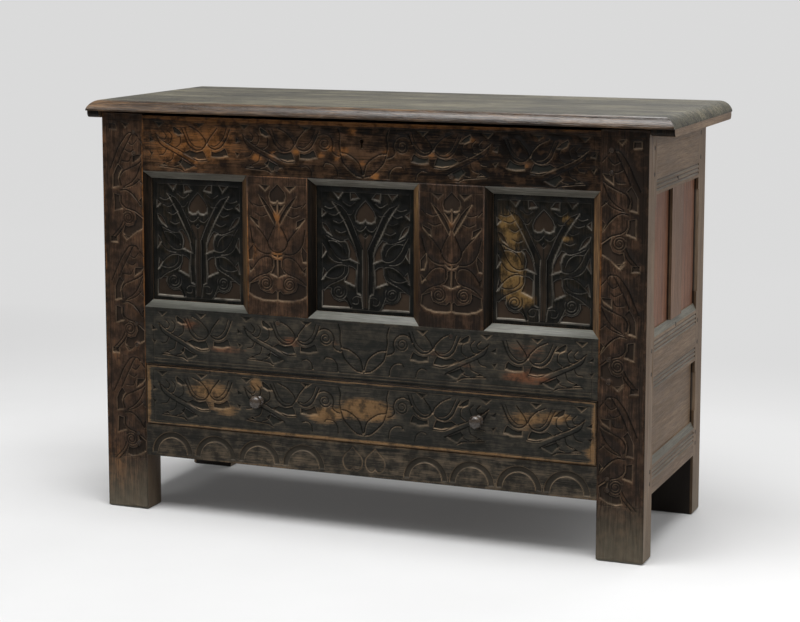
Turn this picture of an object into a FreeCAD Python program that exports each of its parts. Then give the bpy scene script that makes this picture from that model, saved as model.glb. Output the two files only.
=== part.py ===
import FreeCAD, Part
import math
import os

# Carcass: outside of the joined frame without the lid. All lengths are in millimetres.
case_width = 1120.0
case_depth = 425.0
stile_width = 90.0
stile_depth = 54.0
foot_wear = 3.0

# Front frame, from the floor upwards.
bottom_rail_lift = 114.0
bottom_rail_height = 64.0
drawer_opening_height = 124.0
middle_rail_height = 115.0
panel_opening_height = 272.0
top_rail_height = 110.0
stile_stand = 3.0
bearing_stand = 4.0
front_rail_thickness = 28.0

# Front frame, from the left stile towards the right one.
left_panel_width = 228.0
left_muntin_width = 129.0
centre_panel_width = 230.0
right_muntin_width = 130.0

# Sloped margin round each front panel, and the panel in its groove.
sill_width = 14.0
sill_depth = 10.0
sill_lip = 2.0
front_panel_thickness = 10.0
panel_groove = 8.0
panel_play = 0.5

# Frames of the two ends and of the back.
plain_rail_thickness = 26.0
plain_panel_recess = 8.0
plain_panel_thickness = 9.0
plain_bottom_rail_lift = 122.0
plain_bottom_rail_height = 68.0
plain_middle_rail_lift = 315.0
plain_middle_rail_height = 115.0
plain_top_rail_height = 125.0
side_muntin_width = 80.0
back_muntin_width = 96.0
plain_sill_rise = 13.0
plain_sill_run = 6.0
stile_chamfer = 7.0
chamfer_stop = 24.0

# Scratched channels along the edges of the end rails.
scratch_count = 3
scratch_radius = 3.0
scratch_depth = 1.4
scratch_pitch = 8.0
scratch_margin = 6.0

# Joints of the frame.
long_tenon = 40.0
side_tenon = 30.0
muntin_tenon = 30.0
peg_radius = 4.5
peg_length = 34.0
peg_fit = 0.05
peg_shares = (0.28, 0.72)

# Boards of the chest floor.
floor_rise = 38.0
floor_thickness = 12.0
floor_groove = 8.0
floor_board_count = 4
floor_board_gap = 0.8

# Drawer and the two bars that it hangs on.
drawer_gap = 1.5
drawer_proud = 2.0
drawer_front_thickness = 24.0
drawer_edge_wear = 3.0
drawer_lap = 12.0
drawer_side_thickness = 20.0
drawer_side_height = 102.0
drawer_back_thickness = 16.0
drawer_back_drop = 8.0
drawer_back_gap = 8.0
drawer_bottom_thickness = 10.0
runner_rise = 46.0
runner_height = 20.0
runner_width = 20.0
runner_reach = 8.0
runner_seat = 26.0
runner_clearance = 0.3

# Turned knobs of the drawer.
knob_shares = (0.268, 0.755)
knob_height_share = 0.55
knob_reach = 28.0
knob_radius = 13.0
knob_collar_radius = 10.5
knob_collar_length = 5.0
knob_neck_radius = 6.5
knob_head_length = 15.0
knob_spigot_radius = 5.5
knob_fit = 0.08

# Lid with its moulded edge, and the cleats under its ends.
lid_thickness = 21.0
lid_overhang_left = 29.0
lid_overhang_right = 48.0
lid_overhang_front = 15.0
lid_overhang_back = 17.0
lid_edge_width = 25.0
lid_edge_height = 18.0
cleat_thickness = 14.0
left_cleat_width = 26.0
right_cleat_width = 44.0
cleat_inset = 7.0
cleat_round = 9.0
cleat_nail_shares = (0.1, 0.37, 0.63, 0.9)

# Wire hinges: an eye in the back rail, and a loop in the lid that turns in it.
hinge_wire_radius = 2.25
hinge_clearance = 0.08
hinge_set_off = 7.5
hinge_shares = (0.2, 0.8)
eye_shank_radius = 2.0
eye_shank_length = 22.0
loop_width = 16.0
loop_bend = 5.0
loop_hold = 13.0

# Lock behind the top rail, its bolt, and the staple under the lid.
lock_share = 0.5
keyhole_height_share = 0.67
keyhole_radius = 4.5
keyhole_slot_width = 5.0
keyhole_slot_length = 13.0
lock_plate_width = 150.0
lock_box_width = 104.0
lock_height = 76.0
lock_top_drop = 4.0
lock_depth = 26.0
lock_wall = 2.5
staple_drop = 34.0
staple_bar = 4.0
staple_width = 8.0
staple_gap = 8.0
staple_hold = 12.0
staple_play = 2.0
bolt_height = 10.0
bolt_thickness = 6.0
bolt_length = 40.0
bolt_rest = 8.0
bolt_clearance = 0.25
bolt_guide_length = 28.0

# Nails: flush heads, and the fit of nails and spigots in their holes.
nail_radius = 1.6
nail_head_radius = 3.6
nail_head_height = 1.6
nail_length = 38.0
short_nail_length = 22.0
nail_fit = 0.08
nail_shares = (0.18, 0.82)

overrun = 5.0

# Levels above the floor.
drawer_opening_bottom = bottom_rail_lift + bottom_rail_height
middle_rail_bottom = drawer_opening_bottom + drawer_opening_height
panel_opening_bottom = middle_rail_bottom + middle_rail_height
panel_opening_top = panel_opening_bottom + panel_opening_height
top_rail_top = panel_opening_top + top_rail_height
stile_height = top_rail_top + stile_stand
bearing_level = stile_height + bearing_stand
floor_bottom = middle_rail_bottom + floor_rise
floor_top = floor_bottom + floor_thickness
runner_bottom = drawer_opening_bottom + runner_rise
runner_top = runner_bottom + runner_height
groove_front = sill_depth + sill_lip
groove_back = groove_front + front_panel_thickness
plain_groove_back = plain_panel_recess + plain_panel_thickness

# Drawer outline.
drawer_left = stile_width + drawer_gap
drawer_right = case_width - stile_width - drawer_gap
drawer_low = drawer_opening_bottom + drawer_gap
drawer_high = middle_rail_bottom - drawer_gap
drawer_face = -drawer_proud
drawer_front_back = drawer_face + drawer_front_thickness
drawer_lap_start = drawer_front_back - drawer_lap
drawer_end = case_depth - plain_rail_thickness - drawer_back_gap
drawer_side_low = drawer_low + drawer_bottom_thickness
drawer_side_top = drawer_side_low + drawer_side_height

# Lid outline and hinge axis.
lid_left = -lid_overhang_left
lid_right = case_width + lid_overhang_right
lid_front = -lid_overhang_front
lid_back = case_depth + lid_overhang_back
lid_top = bearing_level + lid_thickness
hinge_y = case_depth + hinge_set_off
hinge_z = bearing_level - hinge_set_off

# Lock places.
lock_x = lock_share * case_width
keyhole_z = panel_opening_top + keyhole_height_share * top_rail_height
lock_top = top_rail_top - lock_top_drop
lock_bottom = lock_top - lock_height
lock_back = front_rail_thickness + lock_depth
staple_y = front_rail_thickness + lock_wall + staple_play + staple_bar + staple_gap / 2
staple_bottom = bearing_level - staple_drop
bolt_bottom = staple_bottom + staple_bar + bolt_clearance
bolt_start = lock_x + bolt_rest

# The part's frame has its origin under the middle of its outline, on the floor.
reach_front = max(lid_overhang_front, drawer_proud + knob_reach)
reach_back = lid_overhang_back
case_left = (lid_overhang_left - case_width - lid_overhang_right) / 2
case_front = (reach_front - case_depth - reach_back) / 2
case_place = FreeCAD.Vector(case_left, case_front, 0)

along_x = FreeCAD.Vector(1, 0, 0)
along_y = FreeCAD.Vector(0, 1, 0)
along_z = FreeCAD.Vector(0, 0, 1)


def block(low, high):
    """Box between two opposite corners."""
    size = [b - a for a, b in zip(low, high)]
    return Part.makeBox(size[0], size[1], size[2], FreeCAD.Vector(*low))


def rod(start, direction, radius, length):
    """Round bar from a point along a direction."""
    return Part.makeCylinder(radius, length, FreeCAD.Vector(*start), direction)


def prism(points, direction, length):
    """Straight bar with a polygon section."""
    corners = [FreeCAD.Vector(*point) for point in points]
    face = Part.Face(Part.makePolygon(corners + corners[:1]))
    return face.extrude(direction * length)


def tapered(first, last):
    """Solid with flat faces between two rectangles."""
    near = [FreeCAD.Vector(*point) for point in first]
    far = [FreeCAD.Vector(*point) for point in last]
    rings = [near, far]
    for number in range(len(near)):
        after = (number + 1) % len(near)
        rings.append([near[number], near[after], far[after], far[number]])
    faces = [Part.Face(Part.makePolygon(ring + ring[:1])) for ring in rings]
    return Part.makeSolid(Part.makeShell(faces))


def crown_middle(width, height):
    """Middle of a round that rises over a width and ends level, from its low end."""
    radius = (width ** 2 + height ** 2) / (height + height)
    half_turn = math.asin(width / radius) / 2
    return width - radius * math.sin(half_turn), height - radius + radius * math.cos(half_turn)


def joined(first, others):
    """One solid from pieces that meet."""
    return first.fuse(others).removeSplitter()


def without(shape, cutters):
    """Shape with the cutters taken away."""
    return shape.cut(cutters) if cutters else shape


def rounded(shape, radius, chosen):
    """Shape with the chosen edges rounded."""
    return shape.makeFillet(radius, [edge for edge in shape.Edges if chosen(edge.BoundBox)])


def mirrored_x(shape):
    """The same piece at the other end of the case."""
    return shape.mirror(FreeCAD.Vector(case_width / 2, 0, 0), along_x)


def to_left_end(shape):
    """A piece drawn as on the front, turned to the left end."""
    return shape.mirror(FreeCAD.Vector(0, 0, 0), along_x - along_y)


def to_right_end(shape):
    """A piece drawn as on the front, turned to the right end."""
    return mirrored_x(to_left_end(shape))


def to_back(shape):
    """A piece drawn as on the front, turned to the back."""
    return shape.mirror(FreeCAD.Vector(0, case_depth / 2, 0), along_y)


def nail(start, direction, length):
    """Nail with a flush head, and the hole that it sits in."""
    base = FreeCAD.Vector(*start)
    head = rod(start, direction, nail_head_radius, nail_head_height)
    body = joined(rod(start, direction, nail_radius, length), [head])
    hole = rod(start, direction, nail_radius + nail_fit, length + nail_fit)
    mouth_start = base - direction * overrun
    mouth = rod(mouth_start, direction, nail_head_radius + nail_fit, overrun + nail_head_height + nail_fit)
    return body, joined(hole, [mouth])


def peg(start, length):
    """Peg driven in from a frame's face, and the hole that it sits in."""
    body = rod(start, along_y, peg_radius, length)
    mouth = (start[0], start[1] - overrun, start[2])
    return body, rod(mouth, along_y, peg_radius + peg_fit, length + overrun)


def front_openings():
    """Left and right limits of the three front panel openings."""
    first_end = stile_width + left_panel_width
    second_start = first_end + left_muntin_width
    second_end = second_start + centre_panel_width
    third_start = second_end + right_muntin_width
    return ((stile_width, first_end), (second_start, second_end), (third_start, case_width - stile_width))


def opening_rectangle(x0, x1, inset, y):
    """Corners of a front panel opening, drawn in by an inset, at one depth."""
    low = panel_opening_bottom + inset
    high = panel_opening_top - inset
    return [(x0 + inset, y, low), (x1 - inset, y, low), (x1 - inset, y, high), (x0 + inset, y, high)]


def sloped_margin(x0, x1):
    """The four mitred slopes round a front panel, each with its groove."""
    ring = block((x0, 0, panel_opening_bottom), (x1, front_rail_thickness, panel_opening_top))
    mouth = opening_rectangle(x0, x1, -overrun * sill_width / sill_depth, -overrun)
    slope = tapered(mouth, opening_rectangle(x0, x1, sill_width, sill_depth))
    inner = opening_rectangle(x0, x1, sill_width, 0)
    sight = block((inner[0][0], -overrun, inner[0][2]),
                  (inner[2][0], front_rail_thickness + overrun, inner[2][2]))
    held = opening_rectangle(x0, x1, sill_width - panel_groove, groove_front)
    groove = block(held[0], (held[2][0], groove_back, held[2][2]))
    ring = ring.cut([slope, sight, groove])
    outer = opening_rectangle(x0, x1, 0, 0)
    sides = {}
    for number, name in enumerate(("bottom", "right", "top", "left")):
        after = (number + 1) % len(outer)
        wedge = prism([outer[number], outer[after], inner[after], inner[number]], along_y, front_rail_thickness)
        sides[name] = ring.common(wedge)
    return sides


def front_panel(x0, x1):
    """Board in the grooves of its sloped margin."""
    reach = sill_width - panel_groove + panel_play
    held = opening_rectangle(x0, x1, reach, groove_front)
    return block(held[0], (held[2][0], groove_back, held[2][2]))


def front_rail(low, high):
    """Rail between the front stiles, and its two tenons."""
    right = case_width - stile_width
    rail = block((stile_width, 0, low), (right, front_rail_thickness, high))
    shoulder_low = low + panel_groove
    shoulder_high = high - panel_groove
    tenons = []
    for x0, x1 in ((stile_width - long_tenon, stile_width), (right, right + long_tenon)):
        tenons.append(block((x0, groove_front, shoulder_low), (x1, groove_back, shoulder_high)))
    pegs = []
    for x in (stile_width - long_tenon / 2, right + long_tenon / 2):
        for share in peg_shares:
            pegs.append(peg((x, 0, shoulder_low + share * (shoulder_high - shoulder_low)), peg_length))
    return rail, tenons, pegs


def front_muntin(x0, x1, left_slope, right_slope):
    """Upright between two front panels, with tenons into both rails."""
    body = block((x0, 0, panel_opening_bottom), (x1, front_rail_thickness, panel_opening_top))
    tenons = []
    for low, high in ((panel_opening_top, panel_opening_top + muntin_tenon),
                      (panel_opening_bottom - muntin_tenon, panel_opening_bottom)):
        tenons.append(block((x0, groove_front, low), (x1, groove_back, high)))
    pegs = []
    for z in (panel_opening_top + muntin_tenon / 2, panel_opening_bottom - muntin_tenon / 2):
        pegs.append(peg(((x0 + x1) / 2, 0, z), front_rail_thickness))
    return joined(body, [left_slope, right_slope] + tenons), tenons, pegs


def keyhole(depth):
    """Round hole with a slot under it, from the front face inwards."""
    hole = rod((lock_x, -overrun, keyhole_z), along_y, keyhole_radius, depth + overrun)
    half = keyhole_slot_width / 2
    slot = block((lock_x - half, -overrun, keyhole_z - keyhole_slot_length), (lock_x + half, depth, keyhole_z))
    return joined(hole, [slot])


def front_frame():
    """Rails, muntins and panels of the front, with what the stiles need to receive them."""
    openings = front_openings()
    margins = [sloped_margin(*opening) for opening in openings]
    pieces = {}
    mortises = []
    pegs = []
    rails = {"front_top_rail": (panel_opening_top, top_rail_top, "top"),
             "front_middle_rail": (middle_rail_bottom, panel_opening_bottom, "bottom"),
             "front_bottom_rail": (bottom_rail_lift, drawer_opening_bottom, None)}
    muntin_mortises = []
    for name, number in (("front_left_muntin", 0), ("front_right_muntin", 1)):
        x0 = openings[number][1]
        x1 = openings[number + 1][0]
        slopes = (margins[number]["right"], margins[number + 1]["left"])
        pieces[name], tenons, muntin_pegs = front_muntin(x0, x1, *slopes)
        muntin_mortises += tenons
        pegs += muntin_pegs
    for name, (low, high, side) in rails.items():
        rail, tenons, rail_pegs = front_rail(low, high)
        slopes = [margin[side] for margin in margins] if side else []
        pieces[name] = joined(rail, slopes + tenons).cut(muntin_mortises)
        mortises += tenons
        pegs += rail_pegs
    floor_cut = block((stile_width, front_rail_thickness - floor_groove, floor_bottom),
                      (case_width - stile_width, front_rail_thickness + overrun, floor_top))
    pieces["front_middle_rail"] = pieces["front_middle_rail"].cut(floor_cut)
    pieces["front_top_rail"] = pieces["front_top_rail"].cut(keyhole(front_rail_thickness + overrun))
    for name, opening in zip(("left", "centre", "right"), openings):
        pieces["front_" + name + "_panel"] = front_panel(*opening)
    slopes = (margins[0]["left"], margins[-1]["right"])
    return pieces, mortises, pegs, slopes


def scratches(u0, u1, edge, step):
    """Channels along a rail, stepping in from one of its edges."""
    sunk = scratch_depth - scratch_radius
    places = [edge + step * (scratch_margin + scratch_radius + n * scratch_pitch) for n in range(scratch_count)]
    return [rod((u0 - overrun, sunk, z), along_x, scratch_radius, u1 - u0 + overrun + overrun) for z in places]


def weathered_edge(u0, u1, top):
    """What is planed off the front of a rail's upper edge to leave a slope."""
    low = top - plain_sill_rise
    points = [(u0, -overrun, low), (u0, 0, low), (u0, plain_sill_run, top), (u0, plain_sill_run, top + overrun),
              (u0, -overrun, top + overrun)]
    return prism(points, along_x, u1 - u0)


def plain_panel(u0, u1, low, high):
    """Board in the grooves round a plain opening."""
    held = panel_groove - panel_play
    return block((u0 - held, plain_panel_recess, low - held), (u1 + held, plain_groove_back, high + held))


def panel_slot(u0, u1, low, high):
    """Groove that a plain opening needs all round."""
    return block((u0 - panel_groove, plain_panel_recess, low - panel_groove),
                 (u1 + panel_groove, plain_groove_back, high + panel_groove))


def stopped_chamfer(edge, step, low, high):
    """What is planed off a stile's edge beside a panel, short of both rails."""
    points = [(edge, -overrun), (edge - step * stile_chamfer, -overrun), (edge - step * stile_chamfer, 0),
              (edge, stile_chamfer)]
    start = low + chamfer_stop
    return prism([(u, v, start) for u, v in points], along_z, high - chamfer_stop - start)


def plain_frame(span, stile, tenon, muntin_width, decorated):
    """Rails, muntin and panels of an end or the back, drawn as if seen on the front."""
    u0 = stile
    u1 = span - stile
    levels = {"bottom_rail": (plain_bottom_rail_lift, plain_bottom_rail_lift + plain_bottom_rail_height),
              "middle_rail": (plain_middle_rail_lift, plain_middle_rail_lift + plain_middle_rail_height),
              "top_rail": (bearing_level - plain_top_rail_height, bearing_level)}
    low_opening = (levels["bottom_rail"][1], levels["middle_rail"][0])
    high_opening = (levels["middle_rail"][1], levels["top_rail"][0])
    m0 = (u0 + u1 - muntin_width) / 2
    m1 = m0 + muntin_width
    places = {"first_panel": (u0, m0) + high_opening, "second_panel": (m1, u1) + high_opening,
              "lower_panel": (u0, u1) + low_opening}
    slots = [panel_slot(*place) for place in places.values()]
    pieces = {name: plain_panel(*place) for name, place in places.items()}
    mortises = []
    pegs = []
    muntin_tenons = []
    for low, high in ((high_opening[1], high_opening[1] + muntin_tenon),
                      (high_opening[0] - muntin_tenon, high_opening[0])):
        muntin_tenons.append(block((m0 + panel_groove, plain_panel_recess, low),
                                   (m1 - panel_groove, plain_groove_back, high)))
    for z in (high_opening[0] - muntin_tenon / 2, high_opening[1] + muntin_tenon / 2):
        pegs.append(peg(((m0 + m1) / 2, 0, z), plain_rail_thickness))
    for name, (low, high) in levels.items():
        rail = block((u0, 0, low), (u1, plain_rail_thickness, high)).cut(slots + muntin_tenons)
        tenons = []
        for start, end in ((u0 - tenon, u0), (u1, u1 + tenon)):
            tenons.append(block((start, plain_panel_recess, low + panel_groove),
                                (end, plain_groove_back, high - panel_groove)))
        cuts = []
        if decorated:
            cuts += scratches(u0, u1, low, 1) if name != "bottom_rail" else []
            if name != "top_rail":
                cuts += scratches(u0, u1, high - plain_sill_rise, -1)
                cuts.append(weathered_edge(u0, u1, high))
        pieces[name] = joined(without(rail, cuts), tenons)
        mortises += tenons
        for u in (u0 - tenon / 2, u1 + tenon / 2):
            for share in peg_shares:
                z = low + panel_groove + share * (high - low - panel_groove - panel_groove)
                pegs.append(peg((u, 0, z), peg_length))
    body = block((m0, 0, high_opening[0]), (m1, plain_rail_thickness, high_opening[1]))
    pieces["muntin"] = joined(body.cut(slots), muntin_tenons)
    stile_cuts = mortises + slots
    if decorated:
        for opening in (low_opening, high_opening):
            stile_cuts += [stopped_chamfer(u0, 1, *opening), stopped_chamfer(u1, -1, *opening)]
    return pieces, stile_cuts, pegs


def drilled(pieces, pegs):
    """The frame's pieces with holes for its pegs."""
    holes = [hole for body, hole in pegs]
    return {name: shape.cut(holes) for name, shape in pieces.items()}


def runner():
    """Bar that the left side of the drawer hangs on, let into the front and rear stiles."""
    inner = stile_width + runner_reach
    return block((inner - runner_width, stile_depth - runner_seat, runner_bottom),
                 (inner, case_depth - stile_depth + runner_seat, runner_top))


def stile(y0, extra, cuts):
    """Left corner post from the floor up; its lower end is the foot."""
    post = block((0, y0, 0), (stile_width, y0 + stile_depth, stile_height))
    post = post.makeChamfer(foot_wear, [edge for edge in post.Edges if edge.BoundBox.ZMax < foot_wear])
    return joined(post, extra).cut(cuts) if extra else post.cut(cuts)


def floor_boards():
    """Boards of the chest floor, side by side between the two ends, notched round the stiles."""
    between = block((plain_rail_thickness, stile_depth, floor_bottom),
                    (case_width - plain_rail_thickness, case_depth - stile_depth, floor_top))
    grooved = block((stile_width, front_rail_thickness - floor_groove, floor_bottom),
                    (case_width - stile_width, case_depth - plain_rail_thickness + floor_groove, floor_top))
    whole = joined(between, [grooved])
    step = (case_width - plain_rail_thickness - plain_rail_thickness) / floor_board_count
    boards = []
    for number in range(floor_board_count):
        start = plain_rail_thickness + number * step
        lead = floor_board_gap if number else 0
        slice_box = block((start + lead, 0, floor_bottom), (start + step, case_depth, floor_top))
        boards.append(whole.common(slice_box))
    return boards


def drawer_knob(x, z):
    """Turned knob with a collar, a neck and a domed head, on a spigot in the drawer front."""
    neck_end = knob_reach - knob_head_length
    brim_height = neck_end + knob_head_length / 2
    inward, upward = crown_middle(knob_radius, knob_head_length / 2)
    outline = [(0, -drawer_front_thickness), (knob_spigot_radius, -drawer_front_thickness), (knob_spigot_radius, 0),
               (knob_collar_radius, 0), (knob_collar_radius, knob_collar_length),
               (knob_neck_radius, knob_collar_length), (knob_neck_radius, neck_end), (knob_radius, brim_height)]
    points = [FreeCAD.Vector(r, 0, h) for r, h in outline]
    tip = FreeCAD.Vector(0, 0, knob_reach)
    dome_middle = FreeCAD.Vector(knob_radius - inward, 0, brim_height + upward)
    edges = [Part.LineSegment(a, b) for a, b in zip(points, points[1:])]
    edges += [Part.Arc(points[-1], dome_middle, tip), Part.LineSegment(tip, points[0])]
    profile = Part.Face(Part.Wire([edge.toShape() for edge in edges]))
    turned = profile.revolve(FreeCAD.Vector(0, 0, 0), along_z, 360)
    turned.rotate(FreeCAD.Vector(0, 0, 0), along_x, 90)
    turned.translate(FreeCAD.Vector(x, drawer_face, z))
    return turned


def knob_places():
    """Centres of the two knobs on the drawer face."""
    z = drawer_low + knob_height_share * (drawer_high - drawer_low)
    return [(drawer_left + share * (drawer_right - drawer_left), z) for share in knob_shares]


def drawer_pieces():
    """Front, sides, back and bottom of the drawer with its knobs and nails."""
    front = block((drawer_left, drawer_face, drawer_low), (drawer_right, drawer_front_back, drawer_high))
    front = rounded(front, drawer_edge_wear, lambda box: box.YMax < drawer_lap_start)
    front_cuts = [block((drawer_left - overrun, drawer_lap_start, drawer_low - overrun),
                        (drawer_right + overrun, drawer_front_back + overrun, drawer_side_low))]
    inner_left = drawer_left + drawer_side_thickness
    inner_right = drawer_right - drawer_side_thickness
    for x0, x1 in ((drawer_left - overrun, inner_left), (inner_right, drawer_right + overrun)):
        front_cuts.append(block((x0, drawer_lap_start, drawer_side_low),
                                (x1, drawer_front_back + overrun, drawer_side_top)))
    for x, z in knob_places():
        front_cuts.append(rod((x, drawer_face - overrun, z), along_y, knob_spigot_radius + knob_fit,
                              drawer_front_thickness + overrun + overrun))
    side = block((drawer_left, drawer_lap_start, drawer_side_low), (inner_left, drawer_end, drawer_side_top))
    hollow = runner_reach - drawer_gap + runner_clearance
    side = side.cut(block((drawer_left - overrun, drawer_lap_start - overrun, runner_bottom - runner_clearance),
                          (drawer_left + hollow, drawer_end + overrun, runner_top + runner_clearance)))
    back_top = drawer_side_top - drawer_back_drop
    back = block((inner_left, drawer_end - drawer_back_thickness, drawer_side_low),
                 (inner_right, drawer_end, back_top))
    bottom = block((drawer_left, drawer_lap_start, drawer_low), (drawer_right, drawer_end, drawer_side_low))
    nails = []
    for y in (drawer_lap_start + drawer_lap / 2, drawer_end - drawer_back_thickness / 2):
        for share in nail_shares:
            z = drawer_side_low + share * (back_top - drawer_side_low)
            nails.append(nail((drawer_left, y, z), along_x, nail_length))
            nails.append(nail((drawer_right, y, z), -along_x, nail_length))
    for x in (drawer_left + drawer_side_thickness / 2, drawer_right - drawer_side_thickness / 2):
        for share in nail_shares:
            y = drawer_front_back + share * (drawer_end - drawer_front_back)
            nails.append(nail((x, y, drawer_low), along_z, short_nail_length))
    holes = [hole for body, hole in nails]
    pieces = {"drawer_front": front.cut(front_cuts), "drawer_left_side": side,
              "drawer_right_side": mirrored_x(side), "drawer_back": back, "drawer_bottom": bottom}
    pieces = {name: shape.cut(holes) for name, shape in pieces.items()}
    for name, (x, z) in zip(("drawer_left_knob", "drawer_right_knob"), knob_places()):
        pieces[name] = drawer_knob(x, z)
    pieces["drawer_nails"] = Part.makeCompound([body for body, hole in nails])
    return pieces


def lid_edge_cutter(place, direction, length):
    """What is planed off an upper edge of the lid to leave a thumb moulding."""
    square = lid_thickness - lid_edge_height
    inward, upward = crown_middle(lid_edge_width, lid_edge_height)
    low = place(0, square)
    high = place(lid_edge_width, lid_thickness)
    corners = [high, place(lid_edge_width, lid_thickness + overrun), place(-overrun, lid_thickness + overrun),
               place(-overrun, square), low]
    edges = [Part.Arc(low, place(inward, square + upward), high).toShape()]
    edges += [Part.LineSegment(a, b).toShape() for a, b in zip(corners, corners[1:])]
    return Part.Face(Part.Wire(edges)).extrude(direction * length)


def lid_cleat(x0, x1):
    """Bar nailed under one end of the lid, with rounded lower corners, and its nails."""
    y0 = lid_front + cleat_inset
    y1 = lid_back - cleat_inset
    low = bearing_level - cleat_thickness
    bar = block((x0, y0, low), (x1, y1, bearing_level))
    bar = rounded(bar, cleat_round, lambda box: box.ZMax < bearing_level and box.YLength < cleat_round)
    places = [((x0 + x1) / 2, y0 + share * (y1 - y0), low) for share in cleat_nail_shares]
    nails = [nail(place, along_z, short_nail_length) for place in places]
    return bar.cut([hole for body, hole in nails]), nails


def hinge_loop(x):
    """Bent wire whose crossbar turns in the eye and whose legs hold in the lid."""
    half = loop_width / 2
    leg_top = bearing_level + loop_hold
    bend = loop_bend * (1 - math.cos(math.pi / 4))
    points = []
    for step in (-1, 1):
        points.append((FreeCAD.Vector(x + step * half, hinge_y, leg_top),
                       FreeCAD.Vector(x + step * half, hinge_y, hinge_z + loop_bend),
                       FreeCAD.Vector(x + step * (half - bend), hinge_y, hinge_z + bend),
                       FreeCAD.Vector(x + step * (half - loop_bend), hinge_y, hinge_z)))
    left, right = points
    edges = [Part.LineSegment(left[0], left[1]), Part.Arc(left[1], left[2], left[3]),
             Part.LineSegment(left[3], right[3]), Part.Arc(right[3], right[2], right[1]),
             Part.LineSegment(right[1], right[0])]
    path = Part.Wire([edge.toShape() for edge in edges])
    section = Part.Wire(Part.makeCircle(hinge_wire_radius, left[0], along_z))
    return path.makePipeShell([section], True, False)


def loop_holes(x):
    """Holes in the lid for the legs of a hinge loop."""
    radius = hinge_wire_radius + nail_fit
    length = overrun + loop_hold + nail_fit
    starts = [(x + step * loop_width / 2, hinge_y, bearing_level - overrun) for step in (-1, 1)]
    return [rod(start, along_z, radius, length) for start in starts]


def hinge_eye(x):
    """Wire ring behind the back rail with a shank driven into it, and the hole for the shank."""
    ring_radius = hinge_wire_radius + hinge_clearance + hinge_wire_radius
    centre = FreeCAD.Vector(x, hinge_y, hinge_z)
    ring = Part.makeTorus(ring_radius, hinge_wire_radius, centre, along_x)
    start = (x, hinge_y - ring_radius, hinge_z)
    length = hinge_set_off - ring_radius + eye_shank_length
    shank = rod(start, -along_y, eye_shank_radius, length)
    hole = rod((x, case_depth + overrun, hinge_z), -along_y, eye_shank_radius + nail_fit,
               overrun + eye_shank_length + nail_fit)
    return joined(ring, [shank]), hole


def staple_solid(grow):
    """Staple under the lid: two legs across the case and a bar that the bolt holds."""
    half_x = staple_width / 2 + grow
    inner = staple_gap / 2
    outer = inner + staple_bar + grow
    top = bearing_level + staple_hold + grow
    body = block((lock_x - half_x, staple_y - outer, staple_bottom), (lock_x + half_x, staple_y + outer, top))
    gap_low = staple_bottom + staple_bar
    gap = block((lock_x - half_x - overrun, staple_y - inner + grow, gap_low),
                (lock_x + half_x + overrun, staple_y + inner - grow, top + overrun))
    return body.cut(gap)


def bolt_solid(grow):
    """Bolt of the lock at rest, drawn back beside the staple."""
    half = bolt_thickness / 2 + grow
    return block((bolt_start, staple_y - half, bolt_bottom - grow),
                 (bolt_start + bolt_length, staple_y + half, bolt_bottom + bolt_height + grow))


def lock_pieces():
    """Iron lock case on its plate behind the top rail, its bolt and its nails."""
    face = front_rail_thickness
    plate = block((lock_x - lock_plate_width / 2, face, lock_bottom),
                  (lock_x + lock_plate_width / 2, face + lock_wall, lock_top))
    half = lock_box_width / 2
    box = block((lock_x - half, face, lock_bottom), (lock_x + half, lock_back, lock_top))
    room = block((lock_x - half + lock_wall, face + lock_wall, lock_bottom + lock_wall),
                 (lock_x + half - lock_wall, lock_back - lock_wall, lock_top - lock_wall))
    guide_end = bolt_start + bolt_length
    guide = block((guide_end - bolt_guide_length, face + lock_wall, bolt_bottom - lock_wall),
                  (guide_end, lock_back - lock_wall, lock_top - lock_wall))
    mouth_x = staple_width / 2 + staple_play
    mouth_y = staple_gap / 2 + staple_bar + staple_play
    mouth = block((lock_x - mouth_x, staple_y - mouth_y, lock_top - lock_wall - overrun),
                  (lock_x + mouth_x, staple_y + mouth_y, lock_top + overrun))
    nails = []
    nail_reach = (lock_plate_width + lock_box_width) / 4
    for x in (lock_x - nail_reach, lock_x + nail_reach):
        for share in nail_shares:
            place = (x, face + lock_wall, lock_bottom + share * lock_height)
            nails.append(nail(place, -along_y, short_nail_length))
    holes = [hole for body, hole in nails]
    case = joined(plate, [box]).cut(room)
    case = joined(case, [guide]).cut([mouth, bolt_solid(bolt_clearance), keyhole(face + lock_wall)] + holes)
    pieces = {"lock_case": case, "lock_bolt": bolt_solid(0),
              "lock_nails": Part.makeCompound([body for body, hole in nails])}
    return pieces, holes


def lid_pieces():
    """Lid board, cleats, cleat nails, hinge loops and staple."""
    board = block((lid_left, lid_front, bearing_level), (lid_right, lid_back, lid_top))
    length_x = lid_right - lid_left + overrun + overrun
    length_y = lid_back - lid_front + overrun + overrun
    front = lid_edge_cutter(lambda d, h: FreeCAD.Vector(lid_left - overrun, lid_front + d, bearing_level + h),
                            along_x, length_x)
    left = lid_edge_cutter(lambda d, h: FreeCAD.Vector(lid_left + d, lid_front - overrun, bearing_level + h),
                           along_y, length_y)
    right = lid_edge_cutter(lambda d, h: FreeCAD.Vector(lid_right - d, lid_front - overrun, bearing_level + h),
                            along_y, length_y)
    left_cleat, left_nails = lid_cleat(lid_left, lid_left + left_cleat_width)
    right_cleat, right_nails = lid_cleat(lid_right - right_cleat_width, lid_right)
    nails = left_nails + right_nails
    cuts = [front, left, right, staple_solid(nail_fit)] + [hole for body, hole in nails]
    pieces = {"lid_cleat_left": left_cleat, "lid_cleat_right": right_cleat, "lock_staple": staple_solid(0)}
    for name, share in zip(("left", "right"), hinge_shares):
        x = share * case_width
        pieces["hinge_loop_" + name] = hinge_loop(x)
        cuts += loop_holes(x)
    pieces["lid_board"] = board.cut(cuts)
    pieces["cleat_nails"] = Part.makeCompound([body for body, hole in nails])
    return pieces


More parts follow.
